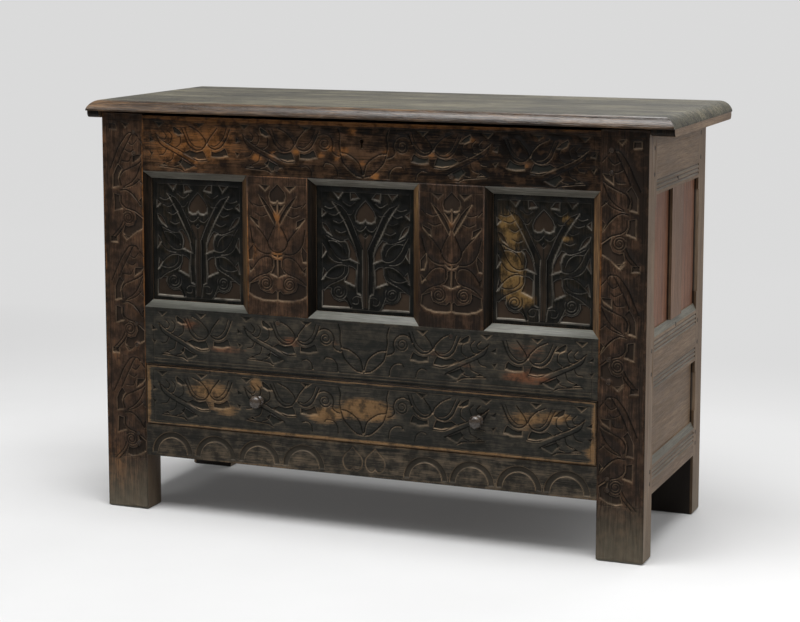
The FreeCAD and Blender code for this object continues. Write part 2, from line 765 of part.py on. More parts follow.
def case_pieces():
    """Everything that stands still: frames, panels, floor, runners, hinge eyes and pegs."""
    front, front_cuts, front_pegs, front_slopes = front_frame()
    side, side_cuts, side_pegs = plain_frame(case_depth, stile_depth, side_tenon, side_muntin_width, True)
    back, back_cuts, back_pegs = plain_frame(case_width, stile_width, long_tenon, back_muntin_width, False)
    front = drilled(front, front_pegs)
    side = drilled(side, side_pegs)
    back = drilled(back, back_pegs)
    floor_cut = block((stile_width, plain_rail_thickness - floor_groove, floor_bottom),
                      (case_width - stile_width, plain_rail_thickness + overrun, floor_top))
    back["middle_rail"] = back["middle_rail"].cut(floor_cut)
    lock, lock_holes = lock_pieces()
    front["front_top_rail"] = front["front_top_rail"].cut(lock_holes)
    front_holes = [hole for body, hole in front_pegs]
    side_holes = [hole for body, hole in side_pegs]
    back_holes = [hole for body, hole in back_pegs]
    bar = runner()
    side_room = [to_left_end(shape) for shape in side_cuts + side_holes]
    back_room = [to_back(shape) for shape in back_cuts + back_holes]
    front_room = front_cuts + front_holes
    side_names = {"first_panel": "front_panel", "second_panel": "rear_panel"}
    back_names = {"first_panel": "left_panel", "second_panel": "right_panel"}
    pieces = dict(front)
    pieces["front_left_stile"] = stile(0, [front_slopes[0]], front_room + side_room + [bar])
    mirrored_front = [mirrored_x(shape) for shape in front_room]
    right_post = stile(0, [mirrored_x(front_slopes[1])], mirrored_front + side_room + [bar])
    pieces["front_right_stile"] = mirrored_x(right_post)
    rear_post = stile(case_depth - stile_depth, [], back_room + side_room + [bar])
    pieces["rear_left_stile"] = rear_post
    pieces["rear_right_stile"] = mirrored_x(rear_post)
    for name, shape in side.items():
        pieces["left_" + side_names.get(name, name)] = to_left_end(shape)
        pieces["right_" + side_names.get(name, name)] = to_right_end(shape)
    for name, shape in back.items():
        pieces["rear_" + back_names.get(name, name)] = to_back(shape)
    for name, share in zip(("left", "right"), hinge_shares):
        eye, hole = hinge_eye(share * case_width)
        pieces["hinge_eye_" + name] = eye
        pieces["rear_top_rail"] = pieces["rear_top_rail"].cut(hole)
    for number, board in enumerate(floor_boards()):
        pieces["floor_board_" + str(number + 1)] = board
    pieces["drawer_runner_left"] = bar
    pieces["drawer_runner_right"] = mirrored_x(bar)
    pegs = [body for body, hole in front_pegs]
    for body, hole in side_pegs:
        pegs += [to_left_end(body), to_right_end(body)]
    pegs += [to_back(body) for body, hole in back_pegs]
    pieces["frame_pegs"] = Part.makeCompound(pegs)
    pieces.update(lock)
    return pieces


def build():
    """Write every piece in the part's own frame, and print what places the joints."""
    os.makedirs("parts", exist_ok=True)
    pieces = case_pieces()
    pieces.update(lid_pieces())
    pieces.update(drawer_pieces())
    for name, shape in pieces.items():
        placed = shape.translated(case_place)
        placed.exportStep("parts/" + name + ".step")
        box = placed.BoundBox
        print(name, len(placed.Solids), placed.isValid(), round(placed.Volume / 1000, 2),
              [round(v, 1) for v in (box.XMin, box.YMin, box.ZMin, box.XMax, box.YMax, box.ZMax)])
    axis = FreeCAD.Vector(0, hinge_y, hinge_z) + case_place
    print("pieces", len(pieces), "case place", case_place, "hinge axis y, z", axis.y, axis.z)


build()
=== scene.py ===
# %% [markdown]
# # A carved oak chest with one drawer
# The chest is a framed box of old oak. Every face of its front is cut with tulips, leaves and scrolls in
# low relief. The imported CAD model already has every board, peg and joint in its place, so this script only
# gives the boards their carving, their wear and their finish. We work in metres, in the CAD model's own
# frame.

import math

import bmesh
import bpy
import numpy as np
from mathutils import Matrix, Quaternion, Vector
from mathutils.geometry import delaunay_2d_cdt


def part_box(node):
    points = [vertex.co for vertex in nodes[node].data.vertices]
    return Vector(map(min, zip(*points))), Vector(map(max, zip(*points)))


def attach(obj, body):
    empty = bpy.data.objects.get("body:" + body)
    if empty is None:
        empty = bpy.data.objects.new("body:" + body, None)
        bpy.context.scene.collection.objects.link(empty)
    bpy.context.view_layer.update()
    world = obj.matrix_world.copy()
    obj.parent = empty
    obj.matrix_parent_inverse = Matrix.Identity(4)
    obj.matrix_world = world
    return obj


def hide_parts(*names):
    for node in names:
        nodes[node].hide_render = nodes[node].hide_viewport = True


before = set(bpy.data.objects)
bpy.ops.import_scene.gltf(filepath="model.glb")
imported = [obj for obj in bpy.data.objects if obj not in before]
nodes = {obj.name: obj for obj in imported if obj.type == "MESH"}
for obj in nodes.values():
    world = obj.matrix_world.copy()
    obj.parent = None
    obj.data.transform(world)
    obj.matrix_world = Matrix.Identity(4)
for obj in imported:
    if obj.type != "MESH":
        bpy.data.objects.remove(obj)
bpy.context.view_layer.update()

# %% [markdown]
# ## The camera
# The photographer stood a little to the right of the chest, with the lens somewhat above the lid, and kept
# the posts upright. A long lens with a small downward shift does the same: the camera tips less, so upright
# edges stay nearly parallel.

# %% Place the camera
IMAGE_WIDTH, FOCAL_PIXELS, SHIFT_PIXELS, SENSOR_MM = 800, 2055.4, -80, 36.0
CAMERA_PLACE, CAMERA_TURN, CAMERA_TIP = (1.506, -3.7676, 1.1219), -0.3834, 0.1359


def put(name, data):
    """A new object in the scene."""
    made = bpy.data.objects.new(name, data)
    bpy.context.scene.collection.objects.link(made)
    return made


def aim(thing, direction):
    """Turns a camera or a lamp to look along a direction."""
    thing.rotation_mode = "QUATERNION"
    thing.rotation_quaternion = direction.to_track_quat("-Z", "Y")


lens = bpy.data.cameras.new("photo_lens")
lens.sensor_width = SENSOR_MM
lens.lens = FOCAL_PIXELS / IMAGE_WIDTH * SENSOR_MM
lens.shift_y = SHIFT_PIXELS / IMAGE_WIDTH
camera = put("photo_lens", lens)
camera.location = CAMERA_PLACE
level = math.cos(CAMERA_TIP)
aim(camera, Vector((math.sin(CAMERA_TURN) * level, math.cos(CAMERA_TURN) * level, -math.sin(CAMERA_TIP))))
bpy.context.scene.camera = camera
bpy.context.scene.view_settings.view_transform = "Standard"
print("lens in mm:", round(lens.lens, 2))

# %% [markdown]
# ## Node helpers
# Each finish below is a small network of shader nodes, and later some shapes are networks of geometry
# nodes. A helper class keeps the wiring short: it adds a node and fills its sockets with values or with
# other nodes' outputs.

# %% A helper for node networks


class Network:
    """Short ways to add nodes to a tree and to fill their sockets."""

    def node(self, kind, sockets=None, **settings):
        made = self.tree.nodes.new(kind)
        for name, value in settings.items():
            setattr(made, name, value)
        self.feed(made, sockets or {})
        return made

    def feed(self, node, sockets):
        for name, value in sockets.items():
            many = isinstance(value, tuple) and isinstance(value[0], bpy.types.NodeSocket)
            for source in value if many else (value,):
                if isinstance(source, bpy.types.NodeSocket):
                    self.tree.links.new(source, node.inputs[name])
                else:
                    node.inputs[name].default_value = source

    def calc(self, operation, a, b=0.0, clamp=False):
        return self.node("ShaderNodeMath", {0: a, 1: b}, operation=operation, use_clamp=clamp).outputs[0]

    def plus(self, a, b, clamp=False):
        return self.calc("ADD", a, b, clamp)

    def minus(self, a, b, clamp=False):
        return self.calc("SUBTRACT", a, b, clamp)

    def times(self, a, b):
        return self.calc("MULTIPLY", a, b)

    def axes(self, vector):
        return self.node("ShaderNodeSeparateXYZ", {0: vector}).outputs

    def from_axes(self, parts):
        return self.node("ShaderNodeCombineXYZ", parts).outputs[0]


class Finish(Network):
    """A new material with a Principled shader, and short ways to add shader nodes to it."""

    def __init__(self, name):
        self.material = bpy.data.materials.new(name)
        self.material.use_nodes = True
        self.tree = self.material.node_tree
        self.tree.nodes.clear()
        self.shader = self.node("ShaderNodeBsdfPrincipled")
        end = self.node("ShaderNodeOutputMaterial")
        self.tree.links.new(self.shader.outputs[0], end.inputs[0])
        self.place = self.node("ShaderNodeTexCoord").outputs["Object"]

    def stretched(self, scale, offset=(0, 0, 0)):
        sockets = {"Vector": self.place, "Scale": scale, "Location": offset}
        return self.node("ShaderNodeMapping", sockets).outputs[0]

    def noise(self, vector, scale=1.0, detail=4.0, roughness=0.55, distortion=0.0):
        sockets = {"Vector": vector, "Scale": scale, "Detail": detail,
                   "Roughness": roughness, "Distortion": distortion}
        return self.node("ShaderNodeTexNoise", sockets).outputs[0]

    def ramp(self, factor, stops):
        made = self.node("ShaderNodeValToRGB", {"Fac": factor})
        band = made.color_ramp
        while len(band.elements) < len(stops):
            band.elements.new(0.5)
        for element, (place, colour) in zip(band.elements, stops):
            element.position = place
            element.color = (*colour, 1)
        return made.outputs["Color"]

    def step(self, factor, low, high):
        sockets = {"Value": factor, "From Min": low, "From Max": high}
        return self.node("ShaderNodeMapRange", sockets, clamp=True).outputs[0]

    def span(self, factor, low, high):
        sockets = {"Value": factor, "To Min": low, "To Max": high}
        return self.node("ShaderNodeMapRange", sockets, clamp=True).outputs[0]

    def blend(self, factor, a, b):
        made = self.node("ShaderNodeMix", data_type="RGBA", clamp_factor=True)
        for index, value in ((0, factor), (6, a), (7, b)):
            if isinstance(value, bpy.types.NodeSocket):
                self.tree.links.new(value, made.inputs[index])
            else:
                made.inputs[index].default_value = value if index == 0 else (*value, 1)
        return made.outputs[2]

    def attribute(self, name):
        return self.node("ShaderNodeAttribute", attribute_name=name).outputs["Fac"]

    def bump(self, height, strength, distance, below=None):
        sockets = {"Height": height, "Strength": strength, "Distance": distance}
        if below is not None:
            sockets["Normal"] = below
        return self.node("ShaderNodeBump", sockets).outputs[0]


# %% [markdown]
# ## The studio
# The chest stands on a pale paper sweep: a floor that curves up into a background with no corner to see.
# One mesh makes it, with a quarter circle between the flat and the upright part. To the camera the paper is
# white, but to light that bounces it is grey: in a studio the paper ends just outside the picture, so it
# throws little light back up at the front, and the cuts keep their shadows. Towards the back the paper
# fades into an even pale grey. Large soft lamps hang above, behind and to both sides.

# %% Make the paper sweep
SWEEP_HALF_WIDTH, SWEEP_FRONT, SWEEP_BACK, SWEEP_BEND, SWEEP_TOP = 6.0, -5.0, 3.2, 1.6, 5.0
SWEEP_STEPS = 24
BOUNCE_TONE, FADE_START, FADE_END = (0.22, 0.22, 0.22), 0.2, 1.8
NEAR_GLOW, FAR_GLOW = 0.055, 0.7
section = [(SWEEP_FRONT, 0.0)]
for step in range(SWEEP_STEPS + 1):
    angle = step / SWEEP_STEPS * math.pi / 2
    section.append((SWEEP_BACK + SWEEP_BEND * math.sin(angle), SWEEP_BEND * (1 - math.cos(angle))))
section.append((SWEEP_BACK + SWEEP_BEND, SWEEP_TOP))
corners = [(side * SWEEP_HALF_WIDTH, y, z) for y, z in section for side in (-1, 1)]
strips = [(2 * i, 2 * i + 1, 2 * i + 3, 2 * i + 2) for i in range(len(section) - 1)]
sweep_mesh = bpy.data.meshes.new("paper_sweep")
sweep_mesh.from_pydata(corners, [], strips)
sweep_mesh.shade_smooth()
sweep = put("paper_sweep", sweep_mesh)

paper = Finish("pale_paper")
fibres = paper.noise(paper.place, 3.0, 3.0)
pale = paper.ramp(fibres, [(0.3, (0.67, 0.67, 0.67)), (0.7, (0.69, 0.69, 0.69))])
ray = paper.node("ShaderNodeLightPath").outputs
reflected = paper.plus(ray["Is Glossy Ray"], ray["Is Transmission Ray"])
seen = paper.plus(ray["Is Camera Ray"], reflected, True)
far = paper.times(paper.step(paper.axes(paper.place)[1], FADE_START, FADE_END), seen)
near_colour = paper.blend(seen, BOUNCE_TONE, pale)
paper.feed(paper.shader, {"Base Color": paper.blend(far, near_colour, (0.0, 0.0, 0.0)), "Roughness": 0.9,
                          "Specular IOR Level": 0.1, "Emission Color": (1, 1, 1, 1),
                          "Emission Strength": paper.times(seen, paper.span(far, NEAR_GLOW, FAR_GLOW))})
sweep_mesh.materials.append(paper.material)
print("sweep strips:", len(strips))

# %% Hang the lamps
ROOM_LIGHT, SKY_SEEN = 0.1, 0.7


def soft_lamp(name, place, target, size, power):
    lamp = bpy.data.lights.new(name, "AREA")
    lamp.shape = "RECTANGLE"
    lamp.size, lamp.size_y = size
    lamp.energy = power
    made = put(name, lamp)
    made.location = place
    aim(made, Vector(target) - Vector(place))


soft_lamp("overhead_lamp", (0.1, -1.0, 3.8), (0, -0.3, 0), (3.2, 2.6), 190)
soft_lamp("back_lamp", (0.5, 2.2, 2.9), (0.2, 0, 0.3), (2.4, 1.2), 36)
soft_lamp("left_lamp", (-2.6, -2.2, 2.9), (0, 0, 0.5), (1.0, 1.2), 14)
soft_lamp("right_lamp", (3.4, 0.6, 1.8), (0.5, 0, 0.4), (1.4, 1.8), 31)
world = bpy.data.worlds.new("room_light")
world.use_nodes = True
room = Network()
room.tree = world.node_tree
ray = room.node("ShaderNodeLightPath").outputs
strength = room.node("ShaderNodeMapRange", {"Value": ray["Is Camera Ray"], "To Min": ROOM_LIGHT,
                                            "To Max": SKY_SEEN})
room.feed(room.tree.nodes["Background"], {"Color": (1, 1, 1, 1), "Strength": strength.outputs[0]})
bpy.context.scene.world = world

# %% [markdown]
# ## Old oak
# Oak shows long fibres, wide streaks of tone, dark open pores and, after three hundred years of wax and
# smoke, dark patches with lighter places where hands and brooms rubbed it. All of these follow the grain,
# so one function makes them from noise that is stretched along the grain of the board. The carved boards
# also carry numbers on their points, which the carving cell writes: how much wear and painted highlight lie
# near a cut edge on the flanks that face the light, whether it lies on sunk ground, how much dirt and painted
# shade lie there, in the bottom of the cuts and on the sides that face away from the light, and how much it
# was rubbed. The finish reads them, so the colour follows the cuts exactly. The narrow recess beside the
# posts at each end gets painted shade.

# %% A function for old oak
ALONG, ACROSS = 1.0, 22.0
GRAIN_SCALE = {"X": (ALONG, ACROSS, ACROSS), "Y": (ACROSS, ALONG, ACROSS), "Z": (ACROSS, ACROSS, ALONG)}
STREAKS, WAX_STREAKS, FIBRES, PORES = 2.6, 9.0, 24.0, 46.0
# The second of these scales breaks up the wear and painted highlight on cut edges; the second colour below is
# dirt together with painted shade in the cuts.
PATCHES, WEAR_AND_HIGHLIGHT_BREAKS, MOTTLE, DENTS = 7.0, 26.0, 48.0, 85.0
SCUFFED_TONE, DIRT_AND_SHADE_TONE = (0.235, 0.203, 0.148), (0.0022, 0.002, 0.0017)
RECESS_BLUR = 0.002


def darker(colour, share):
    return tuple(c * share for c in colour)


def old_oak(name, grain, tones, wax=0.42, carved=None, pores=0.5, relief=1.0, shine=0.3, foot=0.0, gap=None):
    """tones are the dark, middle and light colour; carved gives the colours of sunk ground, of wear and
    painted highlight on cut edges and of rubbed wood, and how strongly the cut edges show; gap gives where
    painted shade
    lies in the recess of a frame: its middle x, the nearest and farthest distance from that, and the height
    below which all of it is dark."""
    oak = Finish(name)

    def grained(size, offset=(0, 0, 0)):
        return oak.stretched(tuple(size * share for share in GRAIN_SCALE[grain]), offset)

    streaks = oak.noise(grained(STREAKS), 1.0, 5.0, 0.6, 0.4)
    fibres = oak.noise(grained(FIBRES), 1.0, 3.0, 0.6)
    pits = oak.noise(grained(PORES, (3, 5, 7)), 1.0, 2.0, 0.5)
    patches = oak.noise(oak.place, PATCHES, 5.0, 0.62)
    tone = oak.plus(oak.times(streaks, 0.5), oak.times(fibres, 0.5))
    if carved:
        rub = oak.attribute("rubbed")
        tone = oak.plus(tone, oak.times(rub, 0.2))
    dark, middle, light = tones
    colour = oak.ramp(tone, [(0.4, dark), (0.5, middle), (0.62, light)])
    smoke = oak.minus(1.0, oak.step(patches, 0.34, 0.62))
    colour = oak.blend(oak.times(smoke, 0.65), colour, dark)
    open_pores = oak.step(pits, 0.62, 0.74)
    colour = oak.blend(oak.times(open_pores, pores), colour, darker(dark, 0.25))
    rough = oak.span(oak.noise(grained(WAX_STREAKS), 1.0, 4.0), wax - 0.1, wax + 0.22)
    if carved:
        ground_tone, wear_and_highlight_tone, rubbed_tone, wear_and_highlight_share = carved
        broken = oak.plus(oak.times(streaks, 0.55), oak.times(patches, 0.75))
        broken = oak.plus(broken, oak.times(fibres, 0.6))
        rub = oak.step(oak.plus(oak.times(rub, 0.8), broken), 1.28, 1.55)
        colour = oak.blend(rub, colour, oak.blend(fibres, darker(rubbed_tone, 0.55), rubbed_tone))
        mottle = oak.noise(oak.place, MOTTLE, 4.0, 0.62)
        colour = oak.blend(oak.span(oak.step(mottle, 0.38, 0.54), 0.75, 0.0), colour, dark)
        colour = oak.blend(oak.span(oak.step(mottle, 0.52, 0.68), 0.0, 0.35), colour, light)
        sunk = oak.attribute("ground")
        dust = oak.blend(oak.step(patches, 0.4, 0.65), darker(ground_tone, 0.5), ground_tone)
        colour = oak.blend(oak.times(sunk, 0.85), colour, dust)
        # Dirt together with painted shade in the cuts.
        colour = oak.blend(oak.times(oak.attribute("dirt_and_shade"), 0.93), colour, DIRT_AND_SHADE_TONE)
        # Wear together with a painted highlight on cut edges that face the light, broken up by noise.
        unbroken = oak.step(oak.noise(oak.place, WEAR_AND_HIGHLIGHT_BREAKS, 3.0), 0.3, 0.58)
        edge = oak.times(oak.attribute("edge"), unbroken)
        colour = oak.blend(oak.times(edge, wear_and_highlight_share), colour, wear_and_highlight_tone)
        rough = oak.plus(rough, oak.times(sunk, 0.2), clamp=True)
    across, _, height = oak.axes(oak.place)
    if foot:
        near_floor = oak.step(oak.minus(oak.times(fibres, 0.1), height), -0.07, 0.06)
        colour = oak.blend(oak.times(near_floor, foot), colour, SCUFFED_TONE)
    if gap:
        middle_x, inner, outer, foot_top = gap
        # Painted shade in the recess beside the posts, and all of it below the given height.
        outward = oak.calc("ABSOLUTE", oak.minus(across, middle_x))
        low_down = oak.calc("LESS_THAN", height, foot_top)
        recess_shade = oak.calc("MAXIMUM", oak.step(outward, inner - RECESS_BLUR, inner), low_down)
        recess_shade = oak.times(recess_shade, oak.minus(1.0, oak.step(outward, outer - RECESS_BLUR, outer)))
        colour = oak.blend(recess_shade, colour, darker(dark, 0.1))
    normal = oak.bump(oak.minus(fibres, oak.times(open_pores, 0.6)), 0.35 * relief, 0.0009)
    normal = oak.bump(oak.noise(oak.place, DENTS, 3.0, 0.6), 0.25 * relief, 0.0012, normal)
    oak.feed(oak.shader, {"Base Color": colour, "Roughness": rough, "Normal": normal,
                          "Specular IOR Level": shine})
    return oak.material


# %% Mix the oak finishes
TOP_TONES = ((0.005, 0.0032, 0.002), (0.05, 0.028, 0.015), (0.15, 0.08, 0.042))
LOW_TONES = ((0.02, 0.0205, 0.0175), (0.047, 0.0435, 0.0355), (0.1, 0.082, 0.06))
POST_TONES = ((0.018, 0.0118, 0.0082), (0.061, 0.036, 0.0225), (0.14, 0.076, 0.044))
PANEL_TONES = ((0.0035, 0.0038, 0.003), (0.01, 0.01, 0.0078), (0.035, 0.025, 0.015))
ARCH_TONES = ((0.018, 0.017, 0.014), (0.075, 0.064, 0.05), (0.2, 0.15, 0.1))
# The next four sets of tones are lit and shaded copies for the sloped margins of the openings: dust with a
# painted sheen on ledges, painted pale light on soffits, painted shade, and wear with painted light.
LEDGE_DUST_AND_SHEEN_TONES = ((0.113, 0.113, 0.096), (0.19, 0.192, 0.168), (0.255, 0.25, 0.215))
LIT_SOFFIT_TONES = ((0.2, 0.187, 0.155), (0.38, 0.355, 0.3), (0.52, 0.48, 0.4))
SHADED_TONES = ((0.006, 0.005, 0.004), (0.018, 0.013, 0.009), (0.05, 0.03, 0.017))
LIT_WORN_TONES = ((0.05, 0.026, 0.014), (0.16, 0.09, 0.042), (0.38, 0.22, 0.09))
PLAIN_TONES = ((0.13, 0.082, 0.048), (0.205, 0.133, 0.079), (0.3, 0.21, 0.135))
SILL_TONES = ((0.105, 0.096, 0.074), (0.16, 0.15, 0.12), (0.215, 0.2, 0.16))
RED_TONES = ((0.12, 0.046, 0.023), (0.2, 0.086, 0.044), (0.3, 0.14, 0.076))
LID_TONES = ((0.012, 0.0105, 0.0065), (0.06, 0.054, 0.034), (0.19, 0.168, 0.11))
LID_EDGE_TONES = ((0.016, 0.009, 0.005), (0.065, 0.04, 0.024), (0.2, 0.12, 0.065))
LID_UNDER_TONES = ((0.04, 0.027, 0.017), (0.11, 0.078, 0.05), (0.19, 0.14, 0.09))
INNER_TONES = ((0.07, 0.045, 0.026), (0.17, 0.115, 0.066), (0.29, 0.21, 0.13))
PEG_TONES = ((0.018, 0.012, 0.008), (0.05, 0.032, 0.021), (0.09, 0.058, 0.037))
KNOB_TONES = ((0.02, 0.015, 0.011), (0.06, 0.044, 0.033), (0.12, 0.092, 0.07))
DULL_GROUND, WARM_GROUND, BROWN_GROUND = (0.036, 0.037, 0.031), (0.046, 0.032, 0.023), (0.07, 0.046, 0.03)
ORANGE, TAN, GOLD, RUSSET = (0.36, 0.15, 0.045), (0.38, 0.22, 0.1), (0.3, 0.18, 0.065), (0.24, 0.105, 0.055)
# Colours of wear together with a painted highlight on cut edges.
WARM_WEAR_AND_HIGHLIGHT, PALE_WEAR_AND_HIGHLIGHT = (0.6, 0.42, 0.26), (0.7, 0.63, 0.52)
SHEEN = 0.13


def carved_oak(name, grain, tones, wax, ground, rubbed, edge=WARM_WEAR_AND_HIGHLIGHT, wear_and_highlight_share=0.8, foot=0.0):
    return old_oak(name, grain, tones, wax, (ground, edge, rubbed, wear_and_highlight_share), shine=SHEEN, foot=foot)


carved_top_oak = carved_oak("carved_top_oak", "X", TOP_TONES, 0.3, DULL_GROUND, ORANGE)
carved_low_oak = carved_oak("carved_low_oak", "X", LOW_TONES, 0.3, DULL_GROUND, TAN)
carved_mid_oak = carved_oak("carved_mid_oak", "X", LOW_TONES, 0.3, DULL_GROUND, RUSSET)
carved_post_oak = carved_oak("carved_post_oak", "Z", POST_TONES, 0.32, WARM_GROUND, ORANGE, foot=0.8)
carved_arch_oak = carved_oak("carved_arch_oak", "X", ARCH_TONES, 0.34, ARCH_TONES[1], TAN)
carved_panel_oak = carved_oak("carved_panel_oak", "Z", PANEL_TONES, 0.28, BROWN_GROUND, GOLD, PALE_WEAR_AND_HIGHLIGHT, 0.7)

# Finishes for the sloped margins by the way they face, which paint light and shade: ledges facing up get dust
# and a painted sheen, soffits facing down a painted pale light, slopes facing right painted shade, and slopes
# facing left wear with painted light.
ledge_dust_and_sheen_oak = old_oak("ledge_dust_and_sheen_oak", "X", LEDGE_DUST_AND_SHEEN_TONES, 0.36, pores=0.2)
lit_soffit_oak = old_oak("lit_soffit_oak", "X", LIT_SOFFIT_TONES, 0.36)
shaded_sill_oak = old_oak("shaded_sill_oak", "Z", SHADED_TONES, 0.4, shine=SHEEN)
lit_worn_sill_oak = old_oak("lit_worn_sill_oak", "Z", LIT_WORN_TONES, 0.36)
plain_sill_oak = old_oak("plain_sill_oak", "Y", SILL_TONES, 0.45)

plain_oak = {grain: old_oak("plain_oak_" + grain.lower(), grain, PLAIN_TONES, 0.5, foot=foot)
             for grain, foot in (("X", 0.0), ("Y", 0.0), ("Z", 0.5))}
# Painted shade in the narrow recess beside the front posts at each end, and on these faces all the way down
# below the top of the feet.
RECESS_INNER, RECESS_OUTER, RECESS_FOOT = 0.013, 0.004, 0.112
case_left, case_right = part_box("front_left_stile")[0].x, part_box("front_right_stile")[1].x
case_half = (case_right - case_left) / 2
recess_shade_band = ((case_left + case_right) / 2, case_half - RECESS_INNER, case_half - RECESS_OUTER, RECESS_FOOT)
recess_shade_oak = old_oak("recess_shade_oak", "Z", PLAIN_TONES, 0.5, gap=recess_shade_band)
side_panel_oak = old_oak("side_panel_oak", "Z", RED_TONES, 0.48)
between = [tuple((a + b) / 2 for a, b in zip(*pair)) for pair in zip(PLAIN_TONES, RED_TONES)]
side_muntin_oak = old_oak("side_muntin_oak", "Z", between, 0.48)

lid_oak = old_oak("lid_oak", "X", LID_TONES, 0.4, pores=0.8, relief=1.8, shine=SHEEN)
lid_edge_oak = old_oak("lid_edge_oak", "X", LID_EDGE_TONES, 0.2, pores=0.7, relief=1.2, shine=0.5)
lid_under_oak = old_oak("lid_under_oak", "X", LID_UNDER_TONES, 0.6)
inner_oak = {grain: old_oak("inner_oak_" + grain.lower(), grain, INNER_TONES, 0.68) for grain in "XYZ"}
peg_oak = old_oak("split_peg_oak", "X", PEG_TONES, 0.5)
knob_wood = old_oak("knob_wood", "Y", KNOB_TONES, 0.2, pores=0.3, relief=0.6, shine=0.6)
print("oak finishes:", [m.name for m in bpy.data.materials if "oak" in m.name or "wood" in m.name])

# %% [markdown]
# ## Old iron
# The hinges, the lock and the nails are forged iron: nearly black, a little rusty, with hammer marks. It is
# a metal with a high roughness. Rust is not a metal, so the same noise that colours it also takes the metal
# away.

# %% Make the iron
iron = Finish("old_iron")
rust = iron.step(iron.noise(iron.place, 60.0, 6.0, 0.65), 0.5, 0.68)
hammered = iron.noise(iron.place, 140.0, 2.0, 0.5)
iron_colour = iron.blend(rust, (0.085, 0.08, 0.078), (0.10, 0.035, 0.014))
iron.feed(iron.shader, {"Base Color": iron_colour, "Metallic": iron.minus(0.95, rust, clamp=True),
                        "Roughness": iron.span(hammered, 0.4, 0.72),
                        "Normal": iron.bump(hammered, 0.5, 0.0008)})
old_iron = iron.material
print("made", old_iron.name)

# %% [markdown]
# ## How the carver worked, and how we do
# The carver drew the pattern, cut its lines with a V-shaped tool, and chopped down the ground between the
# leaves by about three millimetres. A picture of the carving as a bump map would look flat at an angle, so
# we cut it into the mesh. Every line becomes a path with a width and a depth, and every sunk place becomes
# an outline. We lay these paths on the flat front of a board and let a Delaunay triangulation build a skin
# that has an edge along every path. Then each point moves inwards by the depth of the cut at its place.

# %% Paths for the cutting tools
MM = 0.001
PATH_STEP = 1.6


def smooth_path(points):
    """A smooth curve through a few chosen points, in millimetres."""
    p = np.array(points, float)
    q = np.vstack([2 * p[0] - p[1], p, 2 * p[-1] - p[-2]])
    runs = []
    for a, b, c, d in zip(q[:-3], q[1:-2], q[2:-1], q[3:]):
        count = max(2, math.ceil(np.linalg.norm(c - b) / PATH_STEP))
        t = np.linspace(0, 1, count, endpoint=False)[:, None]
        bow, twist = 2 * a - 5 * b + 4 * c - d, 3 * b - a - 3 * c + d
        runs.append(0.5 * (2 * b + (c - a) * t + bow * t**2 + twist * t**3))
    return np.vstack([*runs, p[-1:]])


def straight_path(points, closed=False):
    """Straight runs between the points, divided into short steps."""
    p = np.array(points, float)
    if closed:
        p = np.vstack([p, p[:1]])
    runs = []
    for a, b in zip(p[:-1], p[1:]):
        count = max(1, math.ceil(np.linalg.norm(b - a) / PATH_STEP))
        runs.append(a + (b - a) * np.linspace(0, 1, count, endpoint=False)[:, None])
    if not closed:
        runs.append(p[-1:])
    return np.vstack(runs)


def scroll_path(centre, outer, inner, turns, start_degrees):
    """A spiral that winds inwards from its outer radius."""
    count = max(12, math.ceil(turns * math.pi * (outer + inner) / PATH_STEP))
    t = np.linspace(0, 1, count)
    angle = math.radians(start_degrees) + t * turns * math.tau
    radius = outer + (inner - outer) * t
    return np.stack([centre[0] + radius * np.cos(angle), centre[1] + radius * np.sin(angle)], 1)


def beside(path, distance, closed=False):
    """The same path, moved sideways to its left."""
    ahead = np.roll(path, -1, 0) - np.roll(path, 1, 0)
    if not closed:
        ahead[0], ahead[-1] = path[1] - path[0], path[-1] - path[-2]
    length = np.maximum(np.linalg.norm(ahead, axis=1, keepdims=True), 1e-9)
    return path + distance * np.stack([-ahead[:, 1], ahead[:, 0]], 1) / length


# %% [markdown]
# A pattern is kept as a list of cuts, drawn once for half a motif. Each gouge has a name and gives half the
# width of its cut and the depth. Placing a pattern turns or mirrors the cuts into the board's own place. A
# hand never repeats a motif exactly, so each placing also bends the lines by a fraction of a millimetre, by
# a smooth rule that gives the same result in each run.

# %% A pattern of cuts
LINE_DEPTH, GROUND_DEPTH, WALL, TOOL = 2.6, 2.7, 1.2, 1.3
BOLD, BROAD, PLAIN, SLIM, FINE = [(half, LINE_DEPTH) for half in (1.7, 1.6, 1.5, 1.4, 1.3)]
CUP, CURL, VEIN, INNER, TIP = (1.7, 2.2), (1.3, 2.2), (1.2, 2.1), (1.1, 1.8), (1.1, 1.3)
SCROLL, FINE_SCROLL, SMALL_SCROLL = (1.4, 1.7), (1.3, 1.7), (1.3, 1.6)
BORDER, NOTCH, FRAME_LINE, SHORT_LINE, SCRIBE = (1.2, 1.5), (1.1, 1.4), (1.0, 1.1), (0.9, 1.0), (0.9, 0.9)
LINE_LIGHT, SCROLL_LIGHT, SCROLL_EYE = 0.3, 0.4, 3.5


